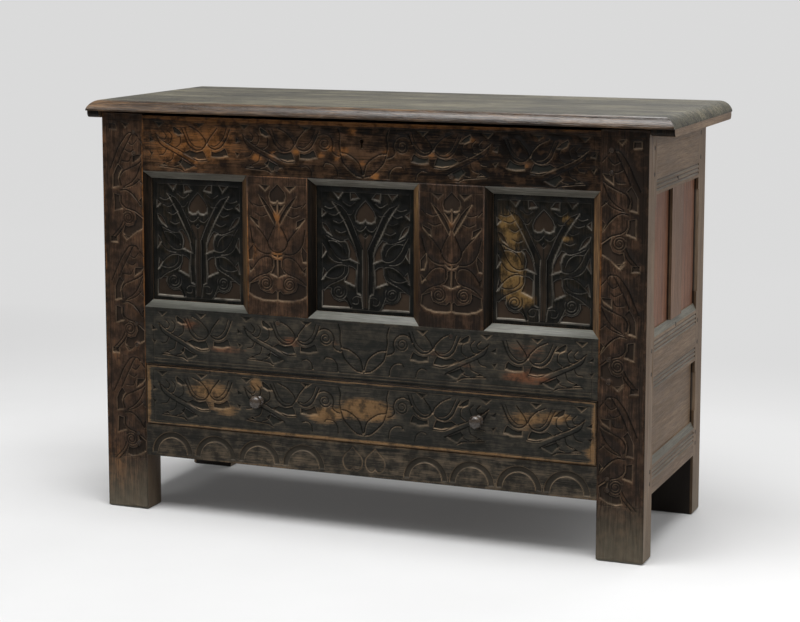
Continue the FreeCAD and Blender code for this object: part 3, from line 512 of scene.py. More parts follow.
class Pattern:
    """Cut lines and sunk grounds on a flat board, in millimetres. light is how strongly the cut edges carry
    wear and a painted highlight.
    """

    def __init__(self, light=LINE_LIGHT):
        self.lines, self.grounds, self.light = [], [], light

    def cut(self, gouge, *runs, straight=False, light=None):
        half, depth = gouge
        light = self.light if light is None else light
        for points in runs:
            path = straight_path(points) if straight else smooth_path(points)
            self.lines.append((path, half * TOOL, depth, light))

    def scroll(self, gouge, centre, outer, turns, start):
        half, depth = gouge
        path = scroll_path(centre, outer, SCROLL_EYE, turns, start)
        self.lines.append((path, half * TOOL, depth, SCROLL_LIGHT))

    def sink(self, *outlines, depth=GROUND_DEPTH, tone=1.0, light=0.8):
        for points in outlines:
            self.grounds.append((straight_path(points, True), depth, tone, light))

    def add(self, other, origin=(0, 0), flip=1, bend=0.5):
        """Lays another pattern into this one. flip -1 mirrors it sideways."""
        def placed(path):
            moved = np.array(origin) + path * (flip, 1)
            x, z = moved[:, 0], moved[:, 1]
            return moved + bend * np.stack([np.sin(z / 13 + x / 41), np.sin(x / 17 - z / 29)], 1)
        self.lines += [(placed(path), *tool) for path, *tool in other.lines]
        self.grounds += [(placed(path), *tool) for path, *tool in other.grounds]
        return self


# %% Distances to a path and places inside an outline


def nearest(points, path, closed):
    """Distance of each point to a path, and the nearest place on it."""
    start = path
    run = np.roll(path, -1, 0) - path
    if not closed:
        start, run = start[:-1], run[:-1]
    length = np.maximum((run**2).sum(1), 1e-12)
    away = points[:, None] - start[None]
    share = np.clip((away * run[None]).sum(2) / length, 0, 1)
    gap = away - share[:, :, None] * run[None]
    square = (gap**2).sum(2)
    pick = square.argmin(1)
    rows = np.arange(len(points))
    return np.sqrt(square[rows, pick]), points - gap[rows, pick]


def within(points, segments):
    """True for the points that lie inside a closed outline, which is given as its segments."""
    count = np.zeros(len(points), int)
    for (ax, az), (bx, bz) in segments:
        cross = (az > points[:, 1]) != (bz > points[:, 1])
        drop = bz - az if bz != az else 1e-12
        count += cross & (points[:, 0] < ax + (points[:, 1] - az) / drop * (bx - ax))
    return count % 2 == 1


# %% [markdown]
# Two functions finish the job. The first works out the depth at any place on the board, together with the
# numbers that the finish reads. The second takes a copy of the CAD board, opens its flat front, and closes
# it again with the carved skin. The rim of the skin uses the CAD board's own points, so peg holes and the
# keyhole stay as they are and the board stays closed.

# %% Depth of the cuts at any place
LIP, SHOULDER, SHOULDER_REACH, DEPTH_SHARE = 0.8, 1.6, 5.2, 0.8
CUT_REACH, TOUCHING = 12, 0.05
# The direction across a board's face that the light comes from: flanks of the cuts that face it get a painted
# highlight, flanks that face away get painted shade.
LIGHT_SIDE = np.array([-0.42, 0.91])


def cut_depth(points, pattern, glint):
    """Depth in millimetres, wear with painted highlight on cut edges, sunk ground, and dirt with painted
    shade, for points on the board's face.
    """
    depth, edge, sunk, dirt_and_shade, shoulder = (np.zeros(len(points)) for _ in range(5))
    jobs = [(path, True, 0.0, *tool) for path, *tool in pattern.grounds]
    jobs += [(path, False, half, floor, 0.0, min(1.0, light * glint))
             for path, half, floor, light in pattern.lines]
    for path, closed, half, floor, tone, gleam in jobs:
        low, high = path.min(0) - half - CUT_REACH, path.max(0) + half + CUT_REACH
        pick = np.flatnonzero(((points > low) & (points < high)).all(1))
        if len(pick) == 0:
            continue
        near = points[pick]
        gap, foot = nearest(near, path, closed)
        facing = ((near - foot) @ LIGHT_SIDE) / np.maximum(gap, TOUCHING)
        if closed:
            inside = within(near, np.stack([path, np.roll(path, -1, 0)], 1))
            dusty = np.where(inside, tone * np.clip(gap / WALL - 0.4, 0, 1), 0)
            sunk[pick] = np.maximum(sunk[pick], dusty)
            if floor == 0:
                continue
            cut = np.where(inside, floor * np.clip(gap / WALL, 0, 1), 0)
            facing = np.where(gap < TOUCHING, 0.4, np.where(inside, facing, -facing))
            light = np.exp(-((gap - 0.3) / LIP) ** 2)
            # Painted shade on the sunk ground at the foot of walls that face away from the light.
            shade = np.where(inside, np.exp(-((gap - WALL) / 1.2) ** 2), 0) * np.clip(0.55 - facing, 0, 1)
            outside = np.where(inside, 0, gap)
        else:
            cut = floor * np.clip(1 - gap / half, 0, 1)
            facing = -facing
            light = np.exp(-((gap - 0.65 * half) / (0.42 * half)) ** 2)
            # Dirt in the bottom of a cut, together with painted shade on its flank that faces away from the
            # light.
            shade = np.clip(1.25 - gap / half, 0, 1) * np.clip(1 - 0.6 * facing, 0, 1)
            outside = np.maximum(gap - half, 0)
        strength = min(1.0, floor / 1.8)
        # Wear together with a painted highlight on the flanks that face the light.
        painted_highlight_and_wear = gleam * strength * light * np.clip(facing * 1.3 - 0.1, 0, 1)
        slope = min(1.0, floor / 2.5) * np.exp(-((outside / SHOULDER_REACH) ** 2))
        for total, here in ((depth, cut), (edge, painted_highlight_and_wear), (dirt_and_shade, strength * shade), (shoulder, slope)):
            total[pick] = np.maximum(total[pick], here)
    return DEPTH_SHARE * depth + SHOULDER * shoulder, edge, sunk, dirt_and_shade * (1 - edge)


# %% The carved skin of a board
LATTICE = 3.2
RIM_CLEAR, RIM_FADE, HOLLOW, RIPPLE = 0.9, 1.5, 0.12, 0.3
MARGIN_DEPTH = 0.012
WELD, FLAT = 1e-6, 1e-5
SHARP = math.radians(32)
FRONT, REST, LEDGE, SOFFIT, SHADED, LIT_WORN = range(6)


def rim_gap(points, rim):
    """Distance of each point to the rim."""
    start, run = rim[:, 0], rim[:, 1] - rim[:, 0]
    length = np.maximum((run**2).sum(1), 1e-12)
    best = np.full(len(points), 1e9)
    for s, r, l in zip(start, run, length):
        away = points - s
        share = np.clip(away @ r / l, 0, 1)
        best = np.minimum(best, ((away - share[:, None] * r) ** 2).sum(1))
    return np.sqrt(best)


def rub_at(points, rubbed, rub_all):
    """How much each point was rubbed, from a list of worn places with their half widths and strength."""
    total = np.full(len(points), rub_all)
    for cx, cz, rx, rz, strength in rubbed:
        total += strength * np.exp(-(((points[:, 0] - cx) / rx) ** 2) - ((points[:, 1] - cz) / rz) ** 2)
    return total


def open_front(node, numbers=()):
    """A copy of a CAD board without its flat front, layers for numbers on its points, and the rim."""
    board = bmesh.new()
    board.from_mesh(nodes[node].data)
    bmesh.ops.remove_doubles(board, verts=board.verts, dist=WELD)
    layers = [board.verts.layers.float.new(name) for name in numbers]
    face_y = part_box(node)[0].y
    front = {f for f in board.faces if f.normal.y < -0.999 and abs(f.calc_center_median().y - face_y) < FLAT}
    rim = [e for e in {e for f in front for e in f.edges} if sum(f in front for f in e.link_faces) == 1]
    bmesh.ops.delete(board, geom=list(front), context="FACES")
    return board, layers, rim


def smooth_mesh(name, solid, angle):
    """A plain mesh from an edited one, smooth except where it is sharper than the angle."""
    mesh = bpy.data.meshes.new(name)
    solid.to_mesh(mesh)
    solid.free()
    mesh.shade_smooth()
    mesh.set_sharp_from_angle(angle=angle)
    return mesh


# %% Carve one board


def carve(node, body, pattern, front_finish, grain, rubbed=(), rub_all=0.0, glint=1.0, margins=True):
    """Replaces a CAD board by a copy whose flat front carries the pattern. Its sloped margins get finishes of
    their own by the way they face, with painted light and shade, or else the finish of the front."""
    board, layers, rim_edges = open_front(node, ("edge", "ground", "rubbed", "dirt_and_shade"))
    rubbed_layer, dirt_and_shade_layer = layers[2:]
    face_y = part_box(node)[0].y
    rim_points = list({v for e in rim_edges for v in e.verts})
    number = {v: i for i, v in enumerate(rim_points)}
    rim_ids = [(number[e.verts[0]], number[e.verts[1]]) for e in rim_edges]
    flat = np.array([(v.co.x, v.co.z) for v in rim_points]) / MM
    rim = np.array([(flat[a], flat[b]) for a, b in rim_ids])

    paths = []
    for path, half, *_ in pattern.lines:
        paths += [beside(path, side) for side in (0, half, -half, half + LIP, -half - LIP)]
    for path, *_ in pattern.grounds:
        for side in (0, WALL, -WALL):
            ring = beside(path, side, True)
            paths.append(np.vstack([ring, ring[:1]]))
    cuts = np.vstack(paths)
    free = within(cuts, rim) & (rim_gap(cuts, rim) > RIM_CLEAR)
    number = np.where(free, np.cumsum(free) - 1 + len(flat), -1)
    ends = set(np.cumsum([len(path) for path in paths]) - 1)
    edges = list(rim_ids)
    edges += [(int(number[i]), int(number[i + 1])) for i in range(len(cuts) - 1)
              if i not in ends and free[i] and free[i + 1]]
    low, high = flat.min(0), flat.max(0)
    xs = np.arange(low[0] + LATTICE, high[0] - LATTICE / 2, LATTICE)
    zs = np.arange(low[1] + LATTICE, high[1] - LATTICE / 2, LATTICE)
    lattice = np.stack(np.meshgrid(xs, zs), -1).reshape(-1, 2)
    lattice = lattice[rim_gap(lattice, rim) > LATTICE / 2]
    spread = np.vstack([flat, cuts[free], lattice])
    skin, _, triangles, origin, _, _ = delaunay_2d_cdt([Vector(p) for p in spread], edges, [], 0, 1e-4)
    skin = np.array([tuple(p) for p in skin])
    triangles = np.array(triangles)
    triangles = triangles[within(skin[triangles].mean(1), rim)]

    depth, edge, sunk, dirt_and_shade = cut_depth(skin, pattern, glint)
    x, z = skin[:, 0], skin[:, 1]
    hollow = HOLLOW * (2 + np.sin(x / 31 + z / 47) + np.sin(z / 23 - x / 71))
    hollow += RIPPLE * (1 + np.sin(x / 5.3 + 1.7 * np.sin(z / 17)) * np.sin(z / 4.7 + 1.3 * np.sin(x / 23)))
    fade = np.clip(rim_gap(skin, rim) / RIM_FADE, 0, 1)
    depth = np.maximum(depth, hollow) * fade
    rub = rub_at(skin, rubbed, rub_all)
    # The sloped margins get a finish by the way they face, with painted light and shade.
    for f in board.faces:
        sloped = 0.3 < -f.normal.y < 0.95 and f.calc_center_median().y < face_y + MARGIN_DEPTH
        f.material_index = REST
        if sloped and not margins:
            f.material_index = FRONT
            for v in f.verts:
                v[rubbed_layer] = rub_at(np.array([[v.co.x, v.co.z]]) / MM, rubbed, rub_all)[0]
                # The margin along the top of the drawer gets full painted shadow from the gap above it.
                v[dirt_and_shade_layer] = 1.0 if f.normal.z > 0.3 else v[dirt_and_shade_layer]
        elif sloped:
            # Slopes facing right get painted shade, slopes facing left wear with painted light.
            upright = SHADED if f.normal.x > 0 else LIT_WORN
            f.material_index = LEDGE if f.normal.z > 0.3 else SOFFIT if f.normal.z < -0.3 else upright
    skin_points = []
    for i, source in enumerate(origin):
        at_rim = next((s for s in source if s < len(flat)), None)
        if at_rim is None:
            v = board.verts.new((x[i] * MM, face_y + depth[i] * MM, z[i] * MM))
        else:
            v = rim_points[at_rim]
        for layer, value in zip(layers, (edge[i] * fade[i], sunk[i] * fade[i], rub[i], dirt_and_shade[i] * fade[i])):
            v[layer] = value
        skin_points.append(v)
    for a, b, c in triangles:
        face = board.faces.new((skin_points[a], skin_points[b], skin_points[c]))
        face.material_index = FRONT
        face.smooth = True
    loose = [v for v in board.verts if not v.link_faces]
    bmesh.ops.delete(board, geom=loose, context="VERTS")
    mesh = smooth_mesh("carved_" + node, board, SHARP)
    for material in (front_finish, plain_oak[grain], ledge_dust_and_sheen_oak, lit_soffit_oak, shaded_sill_oak, lit_worn_sill_oak):
        mesh.materials.append(material)
    piece = put("carved_" + node, mesh)
    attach(piece, body)
    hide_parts(node)
    print(piece.name, "triangles:", sum(len(p.vertices) - 2 for p in mesh.polygons))


# %% [markdown]
# ## The spray of tulips and leaves
# The top rail, the middle rail and the drawer front all carry one long spray, drawn from the middle
# outwards and mirrored: a funnel with an almond leaf, a scroll, a tulip with its leaf, and a second tulip
# with its leaf. So one flower is drawn once and laid four times on each board. Its numbers are millimetres
# from the place where its petals meet.

# %% One tulip with its leaf
flower = Pattern()
flower.cut(
    BOLD, [(54, 25), (46, 9), (40, -4), (28, -14), (14, -14.5), (5, -8), (0, 0)],
    [(-50, 27), (-43, 10), (-34, -5), (-21, -12), (-9, -9), (0, 0)])
flower.cut(
    INNER, [(47, 28), (40, 11), (34, 0), (24, -8), (13, -9)],
    [(-43, 29), (-37, 12), (-29, 1), (-19, -6), (-10, -5)])
flower.cut(PLAIN, [(0, -3), (3, 6), (9, 13), (19, 22), (36, 30)], [(-1, -2), (-6, 9), (-13, 18), (-22, 29)])
flower.cut(PLAIN, [(0, -34), (20, -35), (40, -27), (60, -17), (80, -8), (98, 3), (111, 14)], light=0.25)
flower.cut(PLAIN, [(25, -47), (46, -35), (70, -23), (90, -13), (104, -3), (111, 14)], light=0.0)
flower.cut(
    VEIN, [(69, 18), (58, 11), (57, -3), (66, -11)], [(82, 20), (75, 11), (80, -2), (88, -4)],
    [(95, 20), (88, 12), (92, 4), (98, 5)], [(55, -32), (60, -44), (72, -49)],
    [(73, -24), (77, -36), (88, -41)], [(89, -16), (95, -25), (105, -27)])
flower.cut(SLIM, [(49, -58), (60, -53), (80, -51), (104, -49)])
flower.sink(
    [(-47, -25), (-44, -15), (-40, -9), (-31, -15), (-20, -18), (-10, -16), (-10, -27), (-28, -29)],
    [(0, -32), (3, -22), (7, -15), (24, -19), (38, -15), (50, -21), (36, -29), (17, -34)],
    [(50, 14), (60, 24), (72, 31), (74, 26), (71, 18), (61, 13)])
flower.sink([(27, -46), (41, -40), (56, -33), (64, -40), (56, -47), (49, -56), (38, -52)], light=0.3)
flower.sink([(85, -49), (93, -41), (102, -47)], depth=2.4, light=0.5)
flower.sink([(115, 1), (127, 10), (126, -2)], [(117, -22), (128, -19), (122, -29)], depth=2.4, light=0.3)

# %% The long spray
SPRAY_END, SPRAY_LOW, SPRAY_HIGH, BORDER_LEVEL = 453.0, 308, 412, 304
NOTCH_LEVEL = 401.0
half_spray = Pattern()
half_spray.cut(
    BOLD, [(1, 322), (7, 342), (19, 354), (34, 362), (47, 363)],
    [(3, 318), (15, 321), (29, 332), (41, 345), (47, 362)])
half_spray.cut(
    BROAD, [(47, 364), (49.5, 377), (48.5, 394), (52, 408)],
    [(49, 356), (58, 359), (64, 366), (62, 379), (68, 392), (81, 398), (94, 394), (100, 384)])
half_spray.scroll(SMALL_SCROLL, (80, 379), 13, 1.7, 200)
half_spray.cut(
    CURL, [(53, 317), (55, 330), (64, 340), (78, 342), (82, 337)],
    [(107, 317), (110, 328), (119, 335), (129, 333)])
for place in (121, 250, 349, 436):
    notch = [(place - 11, NOTCH_LEVEL + 9), (place, NOTCH_LEVEL), (place + 10, NOTCH_LEVEL + 9)]
    half_spray.sink(notch, depth=2.2, light=0.4)
    half_spray.cut(NOTCH, notch, straight=True)
half_spray.add(flower, (143, 376), 1, 0)
half_spray.add(flower, (332, 372), 1, 0)
print("cuts in half a spray:", len(half_spray.lines), "lines,", len(half_spray.grounds), "grounds")


def long_spray(middle_x, lift, margins):
    """Both halves of the spray on one board, with scribed lines along its borders."""
    whole = Pattern()
    left, right = middle_x - SPRAY_END, middle_x + SPRAY_END
    for flip in (1, -1):
        whole.add(half_spray, (middle_x, lift), flip)
    for level in margins:
        whole.cut(SCRIBE, [(left, level), (right, level)], straight=True)
    whole.cut(BORDER, [(left, lift + BORDER_LEVEL), (right, lift + BORDER_LEVEL)], straight=True, light=0.0)
    for x in (right + 2, left - 2):
        whole.cut(SCRIBE, [(x, lift + SPRAY_LOW), (x, lift + SPRAY_HIGH)], straight=True)
    return whole


# %% Carve the rails and the drawer front
SPRAY_FROM_LEFT = 0.563
spray_x = (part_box("front_left_stile")[0].x + SPRAY_FROM_LEFT) / MM


def worn(places):
    """Worn places, given from the middle of the spray: x, z, half widths and strength."""
    return [(spray_x + x, *rest) for x, *rest in places]


carve("front_middle_rail", "case", long_spray(spray_x, 0, (309, 315)), carved_mid_oak, "X",
      worn([(330, 335, 60, 16, 0.95), (332, 378, 55, 26, 0.6), (-372, 386, 34, 14, 0.8),
            (-300, 342, 60, 12, 0.65), (-150, 368, 30, 12, 0.8), (150, 366, 25, 10, 0.6),
            (-60, 372, 20, 8, 0.6), (210, 348, 30, 10, 0.5)]),
      glint=2.0)
small_spots = ((-324, 736), (-355, 723), (-188, 732), (-139, 738), (-88, 733), (-56, 730), (-40, 743),
               (-68, 748), (-22, 783), (-2, 721), (-223, 724), (47, 744), (138, 742), (172, 743))
bright_spots = ((261, 752), (221, 774), (325, 729), (355, 782), (24, 699))
carve("front_top_rail", "case", long_spray(spray_x, 377, (790,)), carved_top_oak, "X",
      worn([(-360, 745, 150, 70, 0.72), (330, 740, 200, 80, -0.5), (-22, 765, 40, 30, 0.25),
            (0, 798, 480, 6, 1.9)]
           + [(x, z, 11, 8, 0.75) for x, z in small_spots] + [(x, z, 12, 8, 1.1) for x, z in bright_spots]),
      glint=1.3)
carve("drawer_front", "drawer", long_spray(spray_x, -122, (188, 290)), carved_low_oak, "X",
      worn([(-336, 250, 55, 34, 0.85), (-290, 218, 30, 12, 0.6), (-228, 278, 14, 14, 1.0),
            (-84, 227, 38, 17, 1.15), (6, 246, 54, 22, 1.3), (334, 252, 50, 26, 0.75), (396, 266, 30, 12, 0.8),
            (0, 182, 480, 4, 1.3), (0, 297, 480, 2.5, 1.1), (-466, 240, 5, 60, 1.2), (462, 235, 8, 60, 1.0),
            (454, 200, 20, 14, 0.7)]),
      glint=2.0, margins=False)

# %% [markdown]
# ## The posts
# Each front post carries three equal units, one above the other, and the right post is the mirror of the
# left. In each unit a leaf sweeps down from the inner edge to the outer one, two tulips open inwards from
# one foot, and a scroll ends it. The unit is drawn from the inner edge outwards, below its own notch.

# %% One unit of a post
unit = Pattern()
unit.cut(SLIM, [(3, -32), (10, -23)])
unit.cut(
    BROAD, [(14, -18), (18, -13), (24, -12), (33, -13), (40, -19), (54, -39), (64, -61), (75, -84)],
    [(22, -13), (27, -16), (39, -37), (49, -56), (57, -74)])
unit.cut(
    VEIN, [(15, -27), (24, -36), (34, -32)], [(22, -46), (29, -51), (41, -46)],
    [(27, -60), (32, -69), (47, -69)])
unit.cut(BROAD, [(5, -68), (15, -75), (32, -83), (46, -90), (54, -102), (51, -116)])
unit.cut(PLAIN, [(5, -73), (15, -95), (27, -109), (44, -120)])
unit.cut(FINE, [(9, -104), (24, -115), (46, -123)])
unit.cut(PLAIN, [(7, -155), (22, -136), (38, -126), (51, -127)])
unit.cut(BROAD, [(50, -138), (50, -152), (39, -162), (20, -168), (3, -180)])
unit.cut(FINE, [(3, -160), (12, -148), (29, -131)])
unit.cut(SLIM, [(3, -112), (12, -104)])
unit.scroll(SCROLL, (36, -181), 14, 2.1, 40)
unit.cut(PLAIN, [(48, -188), (56, -203), (74, -223)])
unit.cut(FINE, [(43, -193), (51, -207), (66, -224)])
unit.sink([(30, 7), (39, -1), (48, 10)], depth=2.2)
unit.sink(
    [(60, -6), (61, 6), (76, 7), (76, -5)], [(3, -54), (23, -55), (24, -73), (9, -63)],
    [(48, -85), (57, -75), (63, -84), (69, -97), (69, -123), (54, -120), (57, -104), (54, -94)],
    [(54, -137), (67, -134), (67, -169), (48, -163), (54, -150)])
unit.sink([(3, -138), (11, -146), (3, -159)], depth=2.4)
lower_ground = [(3, -183), (21, -170), (19, -184), (25, -196), (36, -199), (44, -196), (48, -212), (36, -226),
                (20, -212), (4, -203)]

# %% Carve the two front posts
UNIT_PITCH, FIRST_NOTCH, LOWEST_CUT = 226.0, 775.0, -216
POST_WIDTH, POST_MARGINS, POST_FOOT_LINE, POST_TOP_LINE = 90, (4, 80), 106.0, 789
for side, node, rub_all in ((1, "front_right_stile", -0.06), (-1, "front_left_stile", 0.28)):
    outer_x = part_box(node)[1 if side > 0 else 0].x / MM
    inner_x = outer_x - side * POST_WIDTH
    post = Pattern()
    for row in range(3):
        this = Pattern().add(unit, (0, 0), 1, 0)
        this.sink(lower_ground if row < 2 else [(u, max(v, LOWEST_CUT)) for u, v in lower_ground])
        post.add(this, (inner_x, FIRST_NOTCH - row * UNIT_PITCH), side, 0.6)
    near, far = (inner_x + side * margin for margin in POST_MARGINS)
    for x in (near, far):
        post.cut(SCRIBE, [(x, POST_FOOT_LINE), (x, POST_TOP_LINE + 1)], straight=True)
    for z in (POST_FOOT_LINE, POST_TOP_LINE):
        post.cut(SCRIBE, [(near, z), (far, z)], straight=True)
    rubs = [(inner_x + side * 89, 420, 4, 330, 0.5), (inner_x + side * 1, 520, 3, 240, 0.8),
            (inner_x + side * 45, 60, 60, 60, 0.15)]
    if side > 0:
        # Negative strengths make the outer band and the upper part of the right post darker.
        rubs += [(inner_x + 74, 640, 15, 220, -0.9), (inner_x + 45, 740, 60, 60, -0.5)]
    carve(node, "case", post, carved_post_oak, "Z", rubs, rub_all)

# %% [markdown]
# ## The three panels
# Each panel shows a plant: a stem between two deep channels, a heart on top, two branches that bend
# outwards, two pairs of leaves and a pair of scrolls. Both halves are alike, so half of it is drawn from
# the middle line. Heights are millimetres above the lower edge of the opening.

# %% Half a panel
PANEL_HALF, PANEL_LOW, PANEL_HIGH = 91.0, 22.0, 248.0
plant = Pattern(light=0.4)
plant.cut(
    SLIM, [(36, 119), (48, 117), (60, 123), (72, 138), (79, 153), (86, 164)],
    [(44, 153), (54, 152), (66, 156), (80, 163)])
plant.cut(VEIN, [(41, 128), (46, 140), (56, 149), (68, 153), (77, 152)])
plant.cut(FINE, [(50, 111), (66, 114), (78, 124), (88, 146)])
plant.cut(
    SLIM, [(39, 106), (50, 108), (64, 104), (78, 93), (88, 77)],
    [(37, 104), (38, 92), (45, 82), (60, 74), (74, 67), (87, 56)])
plant.cut(
    VEIN, [(45, 103), (47, 91), (58, 82), (72, 80), (83, 83)], [(55, 208), (65, 203), (76, 206)],
    [(45, 194), (55, 188), (66, 192)], [(42, 172), (51, 169), (60, 173)], [(60, 222), (72, 216), (84, 219)],
    [(24, 213), (30, 205), (38, 205)], [(22, 228), (32, 222), (44, 229)])
plant.cut(FINE, [(0, 184), (6, 177), (14, 175), (22, 183)])
plant.cut(TIP, [(0, 170), (4, 165), (0, 161)])
plant.scroll(SCROLL, (55, 54), 15.5, 2.2, 150)
plant.cut(SLIM, [(41, 48), (36, 36), (30, 24)])
plant.cut(VEIN, [(9, 46), (20, 47), (28, 41), (25, 33), (17, 33), (16, 39)])
plant.cut(
    FRAME_LINE, [(0, PANEL_HIGH), (PANEL_HALF, PANEL_HIGH), (PANEL_HALF, PANEL_LOW), (0, PANEL_LOW)],
    straight=True, light=LINE_LIGHT)
plant.sink(
    [(6.5, 24), (6.5, 120), (5.5, 138), (12, 153), (18, 165), (28, 187), (39, 208), (50, 220), (69, 228),
     (58, 212), (46, 193), (38, 178), (31, 163), (23, 147), (18, 132), (17, 112), (18, 68), (17, 52),
     (9, 48)], depth=3.8, tone=0.0)
plant.sink(
    [(0, 24), (5.5, 24), (5.5, 121), (4.5, 139), (11, 154), (16, 165), (9, 170),
     (0, 162)], depth=0.0, tone=0.8)
plant.sink(
    [(15, 111), (35, 119), (33, 134), (37, 147), (44, 154), (35, 157), (25, 144), (19, 130)],
    [(21, 65), (44, 75), (37, 91), (36, 106), (27, 104), (19, 98), (20, 82)])
plant.sink([(91, 118), (82, 131), (90, 146)], [(91, 75), (80, 90), (87, 98)], depth=2.6)
plant.sink([(91, 199), (82, 207), (91, 214)], depth=2.4)
plant.sink(
    [(69, 161), (80, 168), (88, 178), (90, 187), (82, 184), (75, 175)],
    [(47, 247), (55, 235), (66, 247)], depth=2.6)
plant.sink([(13, 236), (30, 232), (31, 247), (22, 247)], depth=2.8)
plant.sink(
    [(91, 54), (80, 60), (71, 60), (72, 50), (66, 40), (55, 35), (44, 38), (38, 34), (33, 23),
     (91, 23)], depth=2.6)
heart_right = [(0, 232), (8, 224), (17, 213), (21.5, 202), (20, 193), (12, 188), (4, 190), (0, 194)]
heart = heart_right + [(-u, v) for u, v in heart_right[-2:0:-1]]

# %% Carve the panels
OPENING_LOW = 417.0
GOLD_PLACES = [(-66, 190, 28, 36, 0.95), (-62, 125, 28, 28, 0.95), (-55, 88, 28, 22, 0.95),
               (-40, 60, 30, 14, 0.9), (46, 215, 16, 12, 0.8), (44, 180, 14, 8, 0.8)]
PANELS = (("front_left_panel", -365.5, [], 0.0), ("front_centre_panel", -7.5, [], -0.45),
          ("front_right_panel", 349.0, GOLD_PLACES, 0.0))


def mirrored(half, middle):
    """Both halves of an upright motif, about its middle line."""
    whole = Pattern()
    for flip in (1, -1):
        whole.add(half, (middle, OPENING_LOW), flip, 0.5)
    return whole


def from_middle(middle, places):
    """Points or worn places, moved from the motif's own zero to the board's."""
    return [(middle + u, OPENING_LOW + v, *rest) for u, v, *rest in places]


for node, middle, places, rub_all in PANELS:
    panel = mirrored(plant, middle)
    panel.sink(from_middle(middle, heart), depth=2.8)
    carve(node, "case", panel, carved_panel_oak, "Z", from_middle(middle, places), rub_all)

# %% [markdown]
# ## The two muntins
# Between the panels stand two short uprights, the muntins. They carry a small heart, a tulip that grows
# into a wide cup, two pairs of leaves and twin scrolls, and a line shaped like a bow closes the pattern
# below.

# %% Half a muntin
bud = Pattern()
bud.cut(FINE, [(6, 176), (13, 163), (20, 148), (21, 141)])
bud.cut(CUP, [(0, 123), (10, 126), (18, 135), (22, 146), (33, 161), (45, 174), (58, 191)])
bud.cut(
    SLIM, [(16, 121), (28, 121), (42, 128), (53, 144), (59, 170)],
    [(11, 96), (12, 110), (22, 115), (36, 111), (48, 99), (58, 84)],
    [(14, 88), (24, 82), (37, 78), (50, 71), (60, 62)])
bud.scroll(FINE_SCROLL, (25, 62), 15, 2.2, 60)
bud.cut(VEIN, [(26, 216), (38, 213), (51, 217)], [(22, 198), (34, 194), (46, 199)])
bud.cut(FINE, [(52, 214), (60, 222)])
bud.cut(SHORT_LINE, [(40, 257), (62, 257)], straight=True)
bud.sink([(16, 254), (26, 243), (40, 255)], depth=2.2)
bud.sink(
    [(41, 236), (33, 222), (22, 204), (12, 188), (5, 176), (2, 184), (8, 198), (17, 213),
     (30, 228)], depth=2.8)
bud.sink([(1, 197), (8, 207), (15, 218), (6, 216), (1, 221)], depth=2.4)
bud.sink([(40, 172), (41, 186), (59, 194), (58, 189), (46, 176)])
bud.sink([(1, 112), (8, 115), (14, 121), (7, 119), (1, 119)], depth=2.4)
bud.sink([(63, 126), (51, 140), (50, 124), (54, 108), (62, 107)], depth=2.2)
bud.sink([(1, 110), (8, 109), (8, 96), (14, 84), (18, 82), (1, 75)], depth=3.0)
bud.sink(
    [(1, 47), (5, 50), (11, 44), (24, 45), (37, 50), (41, 59), (40, 68), (60, 60), (62, 41), (51, 34),
     (32, 29), (9, 29), (1, 31)], depth=2.6)
bud.sink([(62, 99), (52, 90), (60, 84)], depth=2.2)
small_heart = [(0, 258), (8, 250), (16, 242), (18, 233), (15, 223), (8, 220), (3, 221), (0, 225)]
small_heart += [(-u, v) for u, v in small_heart[-2:0:-1]]

# %% Carve the muntins
MUNTIN_PLACES = [(-2, 196, 10, 16, 0.8), (22, 165, 20, 20, 0.25), (-50, 125, 14, 20, 0.25),
                 (0, 118, 14, 10, 0.6), (-65, 136, 2.5, 150, 1.0), (65, 136, 2.5, 150, 1.0)]
for node, rub_all in (("front_left_muntin", 0.18), ("front_right_muntin", -0.25)):
    low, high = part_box(node)
    middle = (low.x + high.x) / 2 / MM
    muntin = mirrored(bud, middle)
    muntin.sink(from_middle(middle, small_heart), depth=2.6)
    carve(node, "case", muntin, carved_post_oak, "Z", from_middle(middle, MUNTIN_PLACES), rub_all)

# %% [markdown]
# ## The lower rail, made by a rule
# Under the drawer runs a row of arches: four arches, two hearts, four arches. A carver sets each row out
# with compasses and a fixed step. Geometry Nodes can do the same: one arc is repeated along a line, and
# every point of a fine grid asks how far away the nearest arc is. Where that distance is less than half the
# width of the band, the point sinks. The hearts work in the same way, from two curves and their mirror
# image.

# %% A helper for geometry trees


class Rule(Network):
    """A new Geometry Nodes tree with named inputs, and short ways to add nodes to it."""

    def __init__(self, name, inputs):
        self.tree = bpy.data.node_groups.new(name, "GeometryNodeTree")
        sockets = self.tree.interface
        sockets.new_socket("Geometry", in_out="INPUT", socket_type="NodeSocketGeometry")
        for label, kind in inputs.items():
            sockets.new_socket(label, in_out="INPUT", socket_type="NodeSocket" + kind)
        sockets.new_socket("Geometry", in_out="OUTPUT", socket_type="NodeSocketGeometry")
        self.given = self.tree.nodes.new("NodeGroupInput").outputs

    def make(self, kind, sockets=None, **settings):
        return self.node("GeometryNode" + kind, sockets, **settings).outputs[0]

    def ratio(self, a, b, clamp=False):
        return self.calc("DIVIDE", a, b, clamp)

    def join(self, *parts):
        return self.make("JoinGeometry", {0: parts})

    def stored(self, geometry, name, value, kind="FLOAT", domain="POINT"):
        made = self.node("GeometryNodeStoreNamedAttribute", data_type=kind, domain=domain)
        self.feed(made, {"Geometry": geometry, "Name": name, "Value": value})
        return made.outputs[0]

    def named(self, name, kind):
        return self.make("InputNamedAttribute", {"Name": name}, data_type=kind)

    def finish(self, geometry):
        end = self.tree.nodes.new("NodeGroupOutput")
        self.tree.links.new(geometry, end.inputs[0])


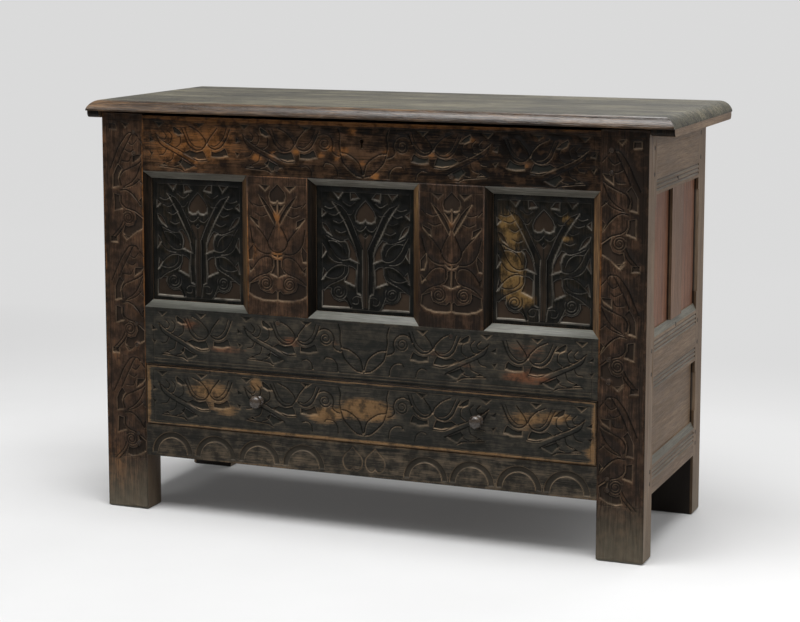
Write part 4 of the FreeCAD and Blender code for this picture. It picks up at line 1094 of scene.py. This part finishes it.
def grow(name, mesh, rule, values):
    """Runs a tree once on a mesh and keeps the result as a plain mesh."""
    piece = put(name, mesh)
    modifier = piece.modifiers.new("rule", "NODES")
    modifier.node_group = rule.tree
    for item in rule.tree.interface.items_tree:
        if item.in_out == "INPUT" and item.name in values:
            modifier[item.identifier] = values[item.name]
    grown = bpy.data.meshes.new_from_object(piece.evaluated_get(bpy.context.evaluated_depsgraph_get()))
    piece.modifiers.remove(modifier)
    filled = [material for material in grown.materials if material]
    index = np.array([filled.index(grown.materials[face.material_index]) for face in grown.polygons])
    grown.materials.clear()
    for material in filled:
        grown.materials.append(material)
    grown.polygons.foreach_set("material_index", index)
    grown.name = name
    piece.data = grown
    return piece


# %% The tree for a row of arches
ARC_STEPS, CURVE_STEPS = 60, 24
HEART_TOP, HEART_SIDE, HEART_NICK = (0, 0.024, 0), (0.0205, -0.005, 0), (0.0, -0.0165, 0)
BAND_WALL, HEART_GROOVE, HEART_DEPTH = 0.0013, 0.0016, 0.0018
RIM_RISE, ARCH_LIP, WORN_STRIP = 0.0015, 0.0009, 0.006
arches = Rule("row_of_arches", {
    "Length": "Float", "Height": "Float", "Columns": "Int", "Rows": "Int", "Place": "Vector",
    "Radius": "Float", "Half Band": "Float", "Depth": "Float", "Count": "Int",
    "Left Start": "Vector", "Left Step": "Vector", "Right Start": "Vector", "Right Step": "Vector",
    "Heart Start": "Vector", "Heart Step": "Vector", "Finish": "Material"})
given = arches.given


def row(name, count):
    """Points at even steps, from the inputs of that name."""
    return arches.make("MeshLine", {"Count": count, "Start Location": given[name + " Start"],
                                    "Offset": given[name + " Step"]})


def bend(start, end, start_handle, end_handle):
    return arches.make("CurvePrimitiveBezierSegment", {
        "Resolution": CURVE_STEPS, "Start": start, "End": end, "Start Handle": start_handle,
        "End Handle": end_handle})


def gap_to(points, shape):
    """Distance to the nearest of a curve's copies on points."""
    copies = arches.make("InstanceOnPoints", {"Points": points, "Instance": shape})
    edges = arches.make("CurveToMesh", {"Curve": arches.make("RealizeInstances", {"Geometry": copies})})
    return arches.node("GeometryNodeProximity", {0: edges}, target_element="EDGES").outputs["Distance"]


def fall(distance, reach):
    """One at no distance, and nothing beyond the reach."""
    return arches.minus(1.0, arches.ratio(distance, reach), True)


sheet = arches.make("MeshGrid", {"Size X": given["Length"], "Size Y": given["Height"],
                                 "Vertices X": given["Columns"], "Vertices Y": given["Rows"]})
arc = arches.make("CurveArc", {"Resolution": ARC_STEPS, "Radius": given["Radius"], "Start Angle": 0.0,
                               "Sweep Angle": math.pi})
gap = gap_to(arches.join(row("Left", given["Count"]), row("Right", given["Count"])), arc)
half_heart = arches.join(bend(HEART_TOP, HEART_SIDE, (0.006, 0.016, 0), (0.021, 0.008, 0)),
                         bend(HEART_SIDE, HEART_NICK, (0.02, -0.022, 0), (0.005, -0.028, 0)))
whole_heart = arches.join(half_heart, arches.make("Transform", {"Geometry": half_heart, "Scale": (-1, 1, 1)}))
heart_gap = gap_to(row("Heart", 2), whole_heart)

spot = arches.axes(arches.make("InputPosition"))
above = arches.ratio(arches.minus(spot[1], arches.axes(given["Left Start"])[1]), MM, True)
band = arches.times(arches.ratio(arches.minus(given["Half Band"], gap), BAND_WALL, True), above)
groove = fall(heart_gap, HEART_GROOVE)
sink = arches.calc("MAXIMUM", arches.times(band, given["Depth"]), arches.times(groove, HEART_DEPTH))
for axis, size in ((0, "Length"), (1, "Height")):
    inside = arches.minus(arches.ratio(given[size], 2.0), arches.calc("ABSOLUTE", spot[axis]))
    sink = arches.times(sink, arches.ratio(inside, RIM_RISE, True))
lip_gap = arches.calc("ABSOLUTE", arches.minus(gap, given["Half Band"]))
lip = arches.times(fall(lip_gap, ARCH_LIP), above)
carved = arches.stored(sheet, "ground", band)
carved = arches.stored(carved, "edge", arches.times(arches.calc("MAXIMUM", lip, groove), 0.6))
carved = arches.stored(carved, "rubbed", arches.times(fall(inside, WORN_STRIP), 0.5))
carved = arches.stored(carved, "is_face", True, "BOOLEAN", "FACE")
inwards = arches.from_axes({2: arches.times(sink, -1.0)})
carved = arches.make("SetPosition", {"Geometry": carved, "Offset": inwards})
carved = arches.make("Transform", {"Geometry": carved, "Rotation": (math.pi / 2, 0, 0),
                                   "Translation": given["Place"]})
board = arches.make("MergeByDistance", {"Geometry": arches.join(given["Geometry"], carved), "Distance": FLAT})
board = arches.make("RealizeInstances", {"Geometry": board})
board = arches.make("SetMaterial", {"Geometry": board, "Selection": arches.named("is_face", "BOOLEAN"),
                                    "Material": given["Finish"]})
arches.finish(board)
print("nodes in the tree:", len(arches.tree.nodes))

# %% [markdown]
# The tree needs the rest of the board as well. We open the front of a copy of the CAD rail and divide its
# rim in the steps of the grid, so that merging the points closes the board again.

# %% Carve the lower rail with the tree
COLUMNS, ROWS, RAIL_ZERO = 753, 53, 569.5
opened, _, rim = open_front("front_bottom_rail")
corners = [v.co.copy() for e in rim for v in e.verts]
left_x, right_x = min(c.x for c in corners), max(c.x for c in corners)
low_z, high_z = min(c.z for c in corners), max(c.z for c in corners)
middle_x, middle_z = (left_x + right_x) / 2, (low_z + high_z) / 2
for edge in rim:
    first, last = edge.verts
    flat_run = abs(first.co.x - last.co.x) > abs(first.co.z - last.co.z)
    for left in range((COLUMNS if flat_run else ROWS) - 1, 1, -1):
        edge, first = bmesh.utils.edge_split(edge, first, 1 / left)
        edge = next(e for e in first.link_edges
                    if e.other_vert(first) is last or e.calc_length() > edge.calc_length())
opened_mesh = bpy.data.meshes.new("opened_lower_rail")
opened.to_mesh(opened_mesh)
opened.free()
opened_mesh.materials.append(plain_oak["X"])


def on_rail(x, z):
    """A place on the front, from millimetres along the case and above the floor."""
    return ((x - RAIL_ZERO) * MM - middle_x, z * MM - middle_z, 0)


lower_rail = grow("carved_front_bottom_rail", opened_mesh, arches, {
    "Length": right_x - left_x, "Height": high_z - low_z, "Columns": COLUMNS, "Rows": ROWS,
    "Place": (middle_x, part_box("front_bottom_rail")[0].y, middle_z),
    "Radius": 0.039, "Half Band": 0.006, "Depth": 0.0028, "Count": 4,
    "Left Start": on_rail(147, 120), "Left Step": (0.0962, 0, 0),
    "Right Start": on_rail(691, 120), "Right Step": (0.0938, 0, 0),
    "Heart Start": on_rail(540, 147), "Heart Step": (0.047, 0, 0), "Finish": carved_arch_oak})
lower_rail.data.shade_smooth()
lower_rail.data.set_sharp_from_angle(angle=SHARP)
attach(lower_rail, "case")
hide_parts("front_bottom_rail")
print(lower_rail.name, "faces:", len(lower_rail.data.polygons))

# %% [markdown]
# ## Pegs and nails
# The joints are locked by split oak pegs, and the lid, the lock and the drawer are nailed. All of these
# repeat, so one tree puts a shank and a head on every place. The places come from the CAD model: each loose
# solid in a node gives its axis, its length and the end that shows. Pegs are split with a knife, so they
# get eleven flat sides, a slightly oval outline, and each one is turned by chance.

# %% A tree for pegs and nails
LEAST_OVAL, ROUND, SHANK_SHARE = 0.95, 1.0, 0.98
fixing = Rule("pegs_and_nails", {"Sides": "Int", "Shank": "Float", "Point": "Float", "Head Sides": "Int",
                                 "Head": "Float", "Head Top": "Float", "Head Height": "Float", "Seed": "Int",
                                 "Finish": "Material"})
given = fixing.given
turn, length = fixing.named("turn", "FLOAT_VECTOR"), fixing.named("length", "FLOAT")
shank = fixing.make("MeshCone", {"Vertices": given["Sides"], "Radius Top": given["Shank"],
                                 "Radius Bottom": given["Point"], "Depth": SHANK_SHARE})
shank = fixing.make("Transform", {"Geometry": shank, "Translation": (0, 0, -1.0)})
drop = fixing.from_axes({2: fixing.times(given["Head Height"], -1.0)})
head = fixing.make("MeshCone", {"Vertices": given["Head Sides"], "Radius Top": given["Head Top"],
                                "Radius Bottom": given["Head"], "Depth": given["Head Height"]})
head = fixing.make("Transform", {"Geometry": head, "Translation": drop})
chance = fixing.node("FunctionNodeRandomValue", {"Seed": given["Seed"]}, data_type="FLOAT")
fixing.feed(chance, {2: LEAST_OVAL, 3: ROUND})
wide = chance.outputs[1]
stretch, squash = (fixing.from_axes({0: wide, 1: 1.0, 2: tall}) for tall in (length, 1.0))
parts = [fixing.make("InstanceOnPoints", {"Points": given["Geometry"], "Instance": shape, "Rotation": turn,
                                          "Scale": size})
         for shape, size in ((shank, stretch), (head, squash))]
fixed = fixing.make("RealizeInstances", {"Geometry": fixing.join(*parts)})
fixing.finish(fixing.make("SetMaterial", {"Geometry": fixed, "Material": given["Finish"]}))

# %% Measure the CAD fixings and grow the new ones
CHANCE_SEED, SAME = 7, 1e-4


def loose_solids(node):
    """The points of each loose solid in a CAD node."""
    solid = bmesh.new()
    solid.from_mesh(nodes[node].data)
    bmesh.ops.remove_doubles(solid, verts=solid.verts, dist=WELD)
    waiting, found = set(solid.verts), []
    while waiting:
        reach = [waiting.pop()]
        for v in reach:
            for e in v.link_edges:
                other = e.other_vert(v)
                if other in waiting:
                    waiting.remove(other)
                    reach.append(other)
        found.append(np.array([tuple(v.co) for v in reach]))
    solid.free()
    return found


def fixings(name, node, body, values):
    """Puts a new shank and head in the place of each loose solid of a CAD node."""
    chance = np.random.default_rng(CHANCE_SEED)
    places, turns, lengths = [], [], []
    for points in loose_solids(node):
        low, high = points.min(0), points.max(0)
        axis = int((high - low).argmax())
        middle = (low + high) / 2
        across = [i for i in range(3) if i != axis]
        ends = [points[np.abs(points[:, axis] - end) < SAME] for end in (low[axis], high[axis])]
        at_low, at_high = (np.abs(end - middle)[:, across].max() for end in ends)
        alike = abs(at_high - at_low) < SAME
        outwards = 1 if at_high > at_low + SAME or (alike and middle[axis] > 0) else -1
        direction = Vector([outwards if i == axis else 0 for i in range(3)])
        middle[axis] = high[axis] if outwards > 0 else low[axis]
        places.append(tuple(middle))
        spin = Quaternion((0, 0, 1), chance.uniform(0, math.tau))
        turns.append(tuple((direction.to_track_quat("Z", "X") @ spin).to_euler()))
        lengths.append(high[axis] - low[axis])
    mesh = bpy.data.meshes.new(name + "_places")
    mesh.from_pydata(places, [], [])
    mesh.attributes.new("turn", "FLOAT_VECTOR", "POINT").data.foreach_set("vector", np.array(turns).ravel())
    mesh.attributes.new("length", "FLOAT", "POINT").data.foreach_set("value", np.array(lengths))
    piece = grow(name, mesh, fixing, values)
    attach(piece, body)
    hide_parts(node)
    print(name, "from", len(places), "places, faces:", len(piece.data.polygons))


fixings("split_pegs", "frame_pegs", "case",
        {"Sides": 11, "Shank": 0.0045, "Point": 0.0038, "Head Sides": 11, "Head": 0.0045, "Head Top": 0.0036,
         "Head Height": 0.0007, "Seed": 3, "Finish": peg_oak})
nail = {"Sides": 4, "Shank": 0.0015, "Point": 0.0008, "Head Sides": 5, "Head": 0.0035, "Head Top": 0.0012,
        "Head Height": 0.0014, "Seed": 5, "Finish": old_iron}
fixings("forged_cleat_nails", "cleat_nails", "lid", nail)
fixings("forged_lock_nails", "lock_nails", "case", nail)
fixings("forged_drawer_nails", "drawer_nails", "drawer", nail)

# %% [markdown]
# ## The turned knobs
# The two knobs were turned on a lathe: a collar against the drawer, a narrow neck and a flattened ball. A
# lathe works by turning one outline, and Blender's spin operator does just that.

# %% Turn the knobs
KNOB_REACH = 28
OUTLINE = [(0, KNOB_REACH), (4, 27.7), (8, 26.4), (11, 23.8), (12.7, 20.6), (12.9, 18.4), (12.2, 16.2),
           (10.2, 14.2), (8, 13), (6.8, 11.4), (6.4, 9.2), (6.7, 7.4), (8, 6), (9.6, 5.2), (10.4, 4),
           (10.4, 2.4), (9.6, 1.2), (9.8, 0.1), (5.4, 0.1), (5.4, -23.8), (0, -23.8)]
LATHE_STEPS, KNOB_SHARP = 48, math.radians(50)
for node in ("drawer_left_knob", "drawer_right_knob"):
    low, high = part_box(node)
    middle_x, middle_z = (low.x + high.x) / 2, (low.z + high.z) / 2
    face_y = low.y + KNOB_REACH * MM
    turning = bmesh.new()
    ring = [turning.verts.new((middle_x + r * MM, face_y - t * MM, middle_z)) for r, t in OUTLINE]
    for a, b in zip(ring[:-1], ring[1:]):
        turning.edges.new((a, b))
    bmesh.ops.spin(turning, geom=turning.verts[:] + turning.edges[:], cent=(middle_x, face_y, middle_z),
                   axis=(0, 1, 0), angle=math.tau, steps=LATHE_STEPS, use_merge=True)
    bmesh.ops.remove_doubles(turning, verts=turning.verts, dist=WELD)
    bmesh.ops.recalc_face_normals(turning, faces=turning.faces)
    mesh = smooth_mesh("turned_" + node, turning, KNOB_SHARP)
    mesh.materials.append(knob_wood)
    knob = put("turned_" + node, mesh)
    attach(knob, "drawer")
    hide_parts(node)
    print(knob.name, "faces:", len(mesh.polygons))

# %% [markdown]
# ## The finishes of the other boards
# The lid, the ends, the back and the inside keep their CAD shape, which already has the mouldings and
# chamfers. Each board gets the oak whose fibres run along it: rails lie, posts and panels stand, and floor
# boards run from front to back. Sloped edges get finishes of their own, and the recess beside the posts,
# the faces of the ends that look down and the front ends of the lid's cleats get painted shade.

# %% Give every other CAD node its finish
end_oak = {"front_panel": side_panel_oak, "rear_panel": side_panel_oak, "muntin": side_muntin_oak}
# Faces of the ends that look to the front sit in the recess beside the posts and get painted shade; faces that
# look down get painted shade as well.
recessed = [(lambda n: n.y < -0.5, recess_shade_oak)]
end_faces = recessed + [(lambda n: abs(n.x) > 0.3 and n.z > 0.3, plain_sill_oak),
                        (lambda n: abs(n.x) > 0.3 and n.z < -0.2, shaded_sill_oak)]
lid_faces = [(lambda n: n.z < -0.9, lid_under_oak), (lambda n: n.y < -0.25, lid_edge_oak)]
dressed = []


def dress(node, material, special=()):
    """One finish for a CAD node, and other finishes for the faces whose normal passes a test."""
    dressed.append(node)
    mesh = nodes[node].data
    mesh.materials.clear()
    for finish in (material, *[finish for _, finish in special]):
        mesh.materials.append(finish)
    for face in mesh.polygons:
        face.material_index = next((i + 1 for i, (test, _) in enumerate(special) if test(face.normal)), 0)


for node in nodes:
    if node.startswith(("left_", "right_")):
        kind = node.split("_", 1)[1]
        dress(node, end_oak.get(kind, plain_oak["Y"]), end_faces)
    elif node.startswith("rear_") and node.endswith("stile"):
        # The rear posts' faces that look to the front get the same painted shade.
        dress(node, plain_oak["Z"], recessed)
    elif node.startswith("rear_"):
        dress(node, inner_oak["X" if node.endswith(("rail", "lower_panel")) else "Z"])
    elif node.startswith(("floor_board", "drawer_runner")) or node.endswith("_side"):
        dress(node, inner_oak["Y"])
    elif node in ("drawer_back", "drawer_bottom"):
        dress(node, inner_oak["X"])
    elif node == "lid_board":
        dress(node, lid_oak, lid_faces)
    elif node.startswith("lid_"):
        # Faces of the other lid parts that look to the front, such as the ends of the cleats, get painted
        # shadow from the lid above them.
        dress(node, plain_oak["Y"], [(lambda n: n.y < -0.5, shaded_sill_oak)])
    elif node.startswith(("hinge", "lock")):
        dress(node, old_iron)
print("nodes with a new finish:", len(dressed))
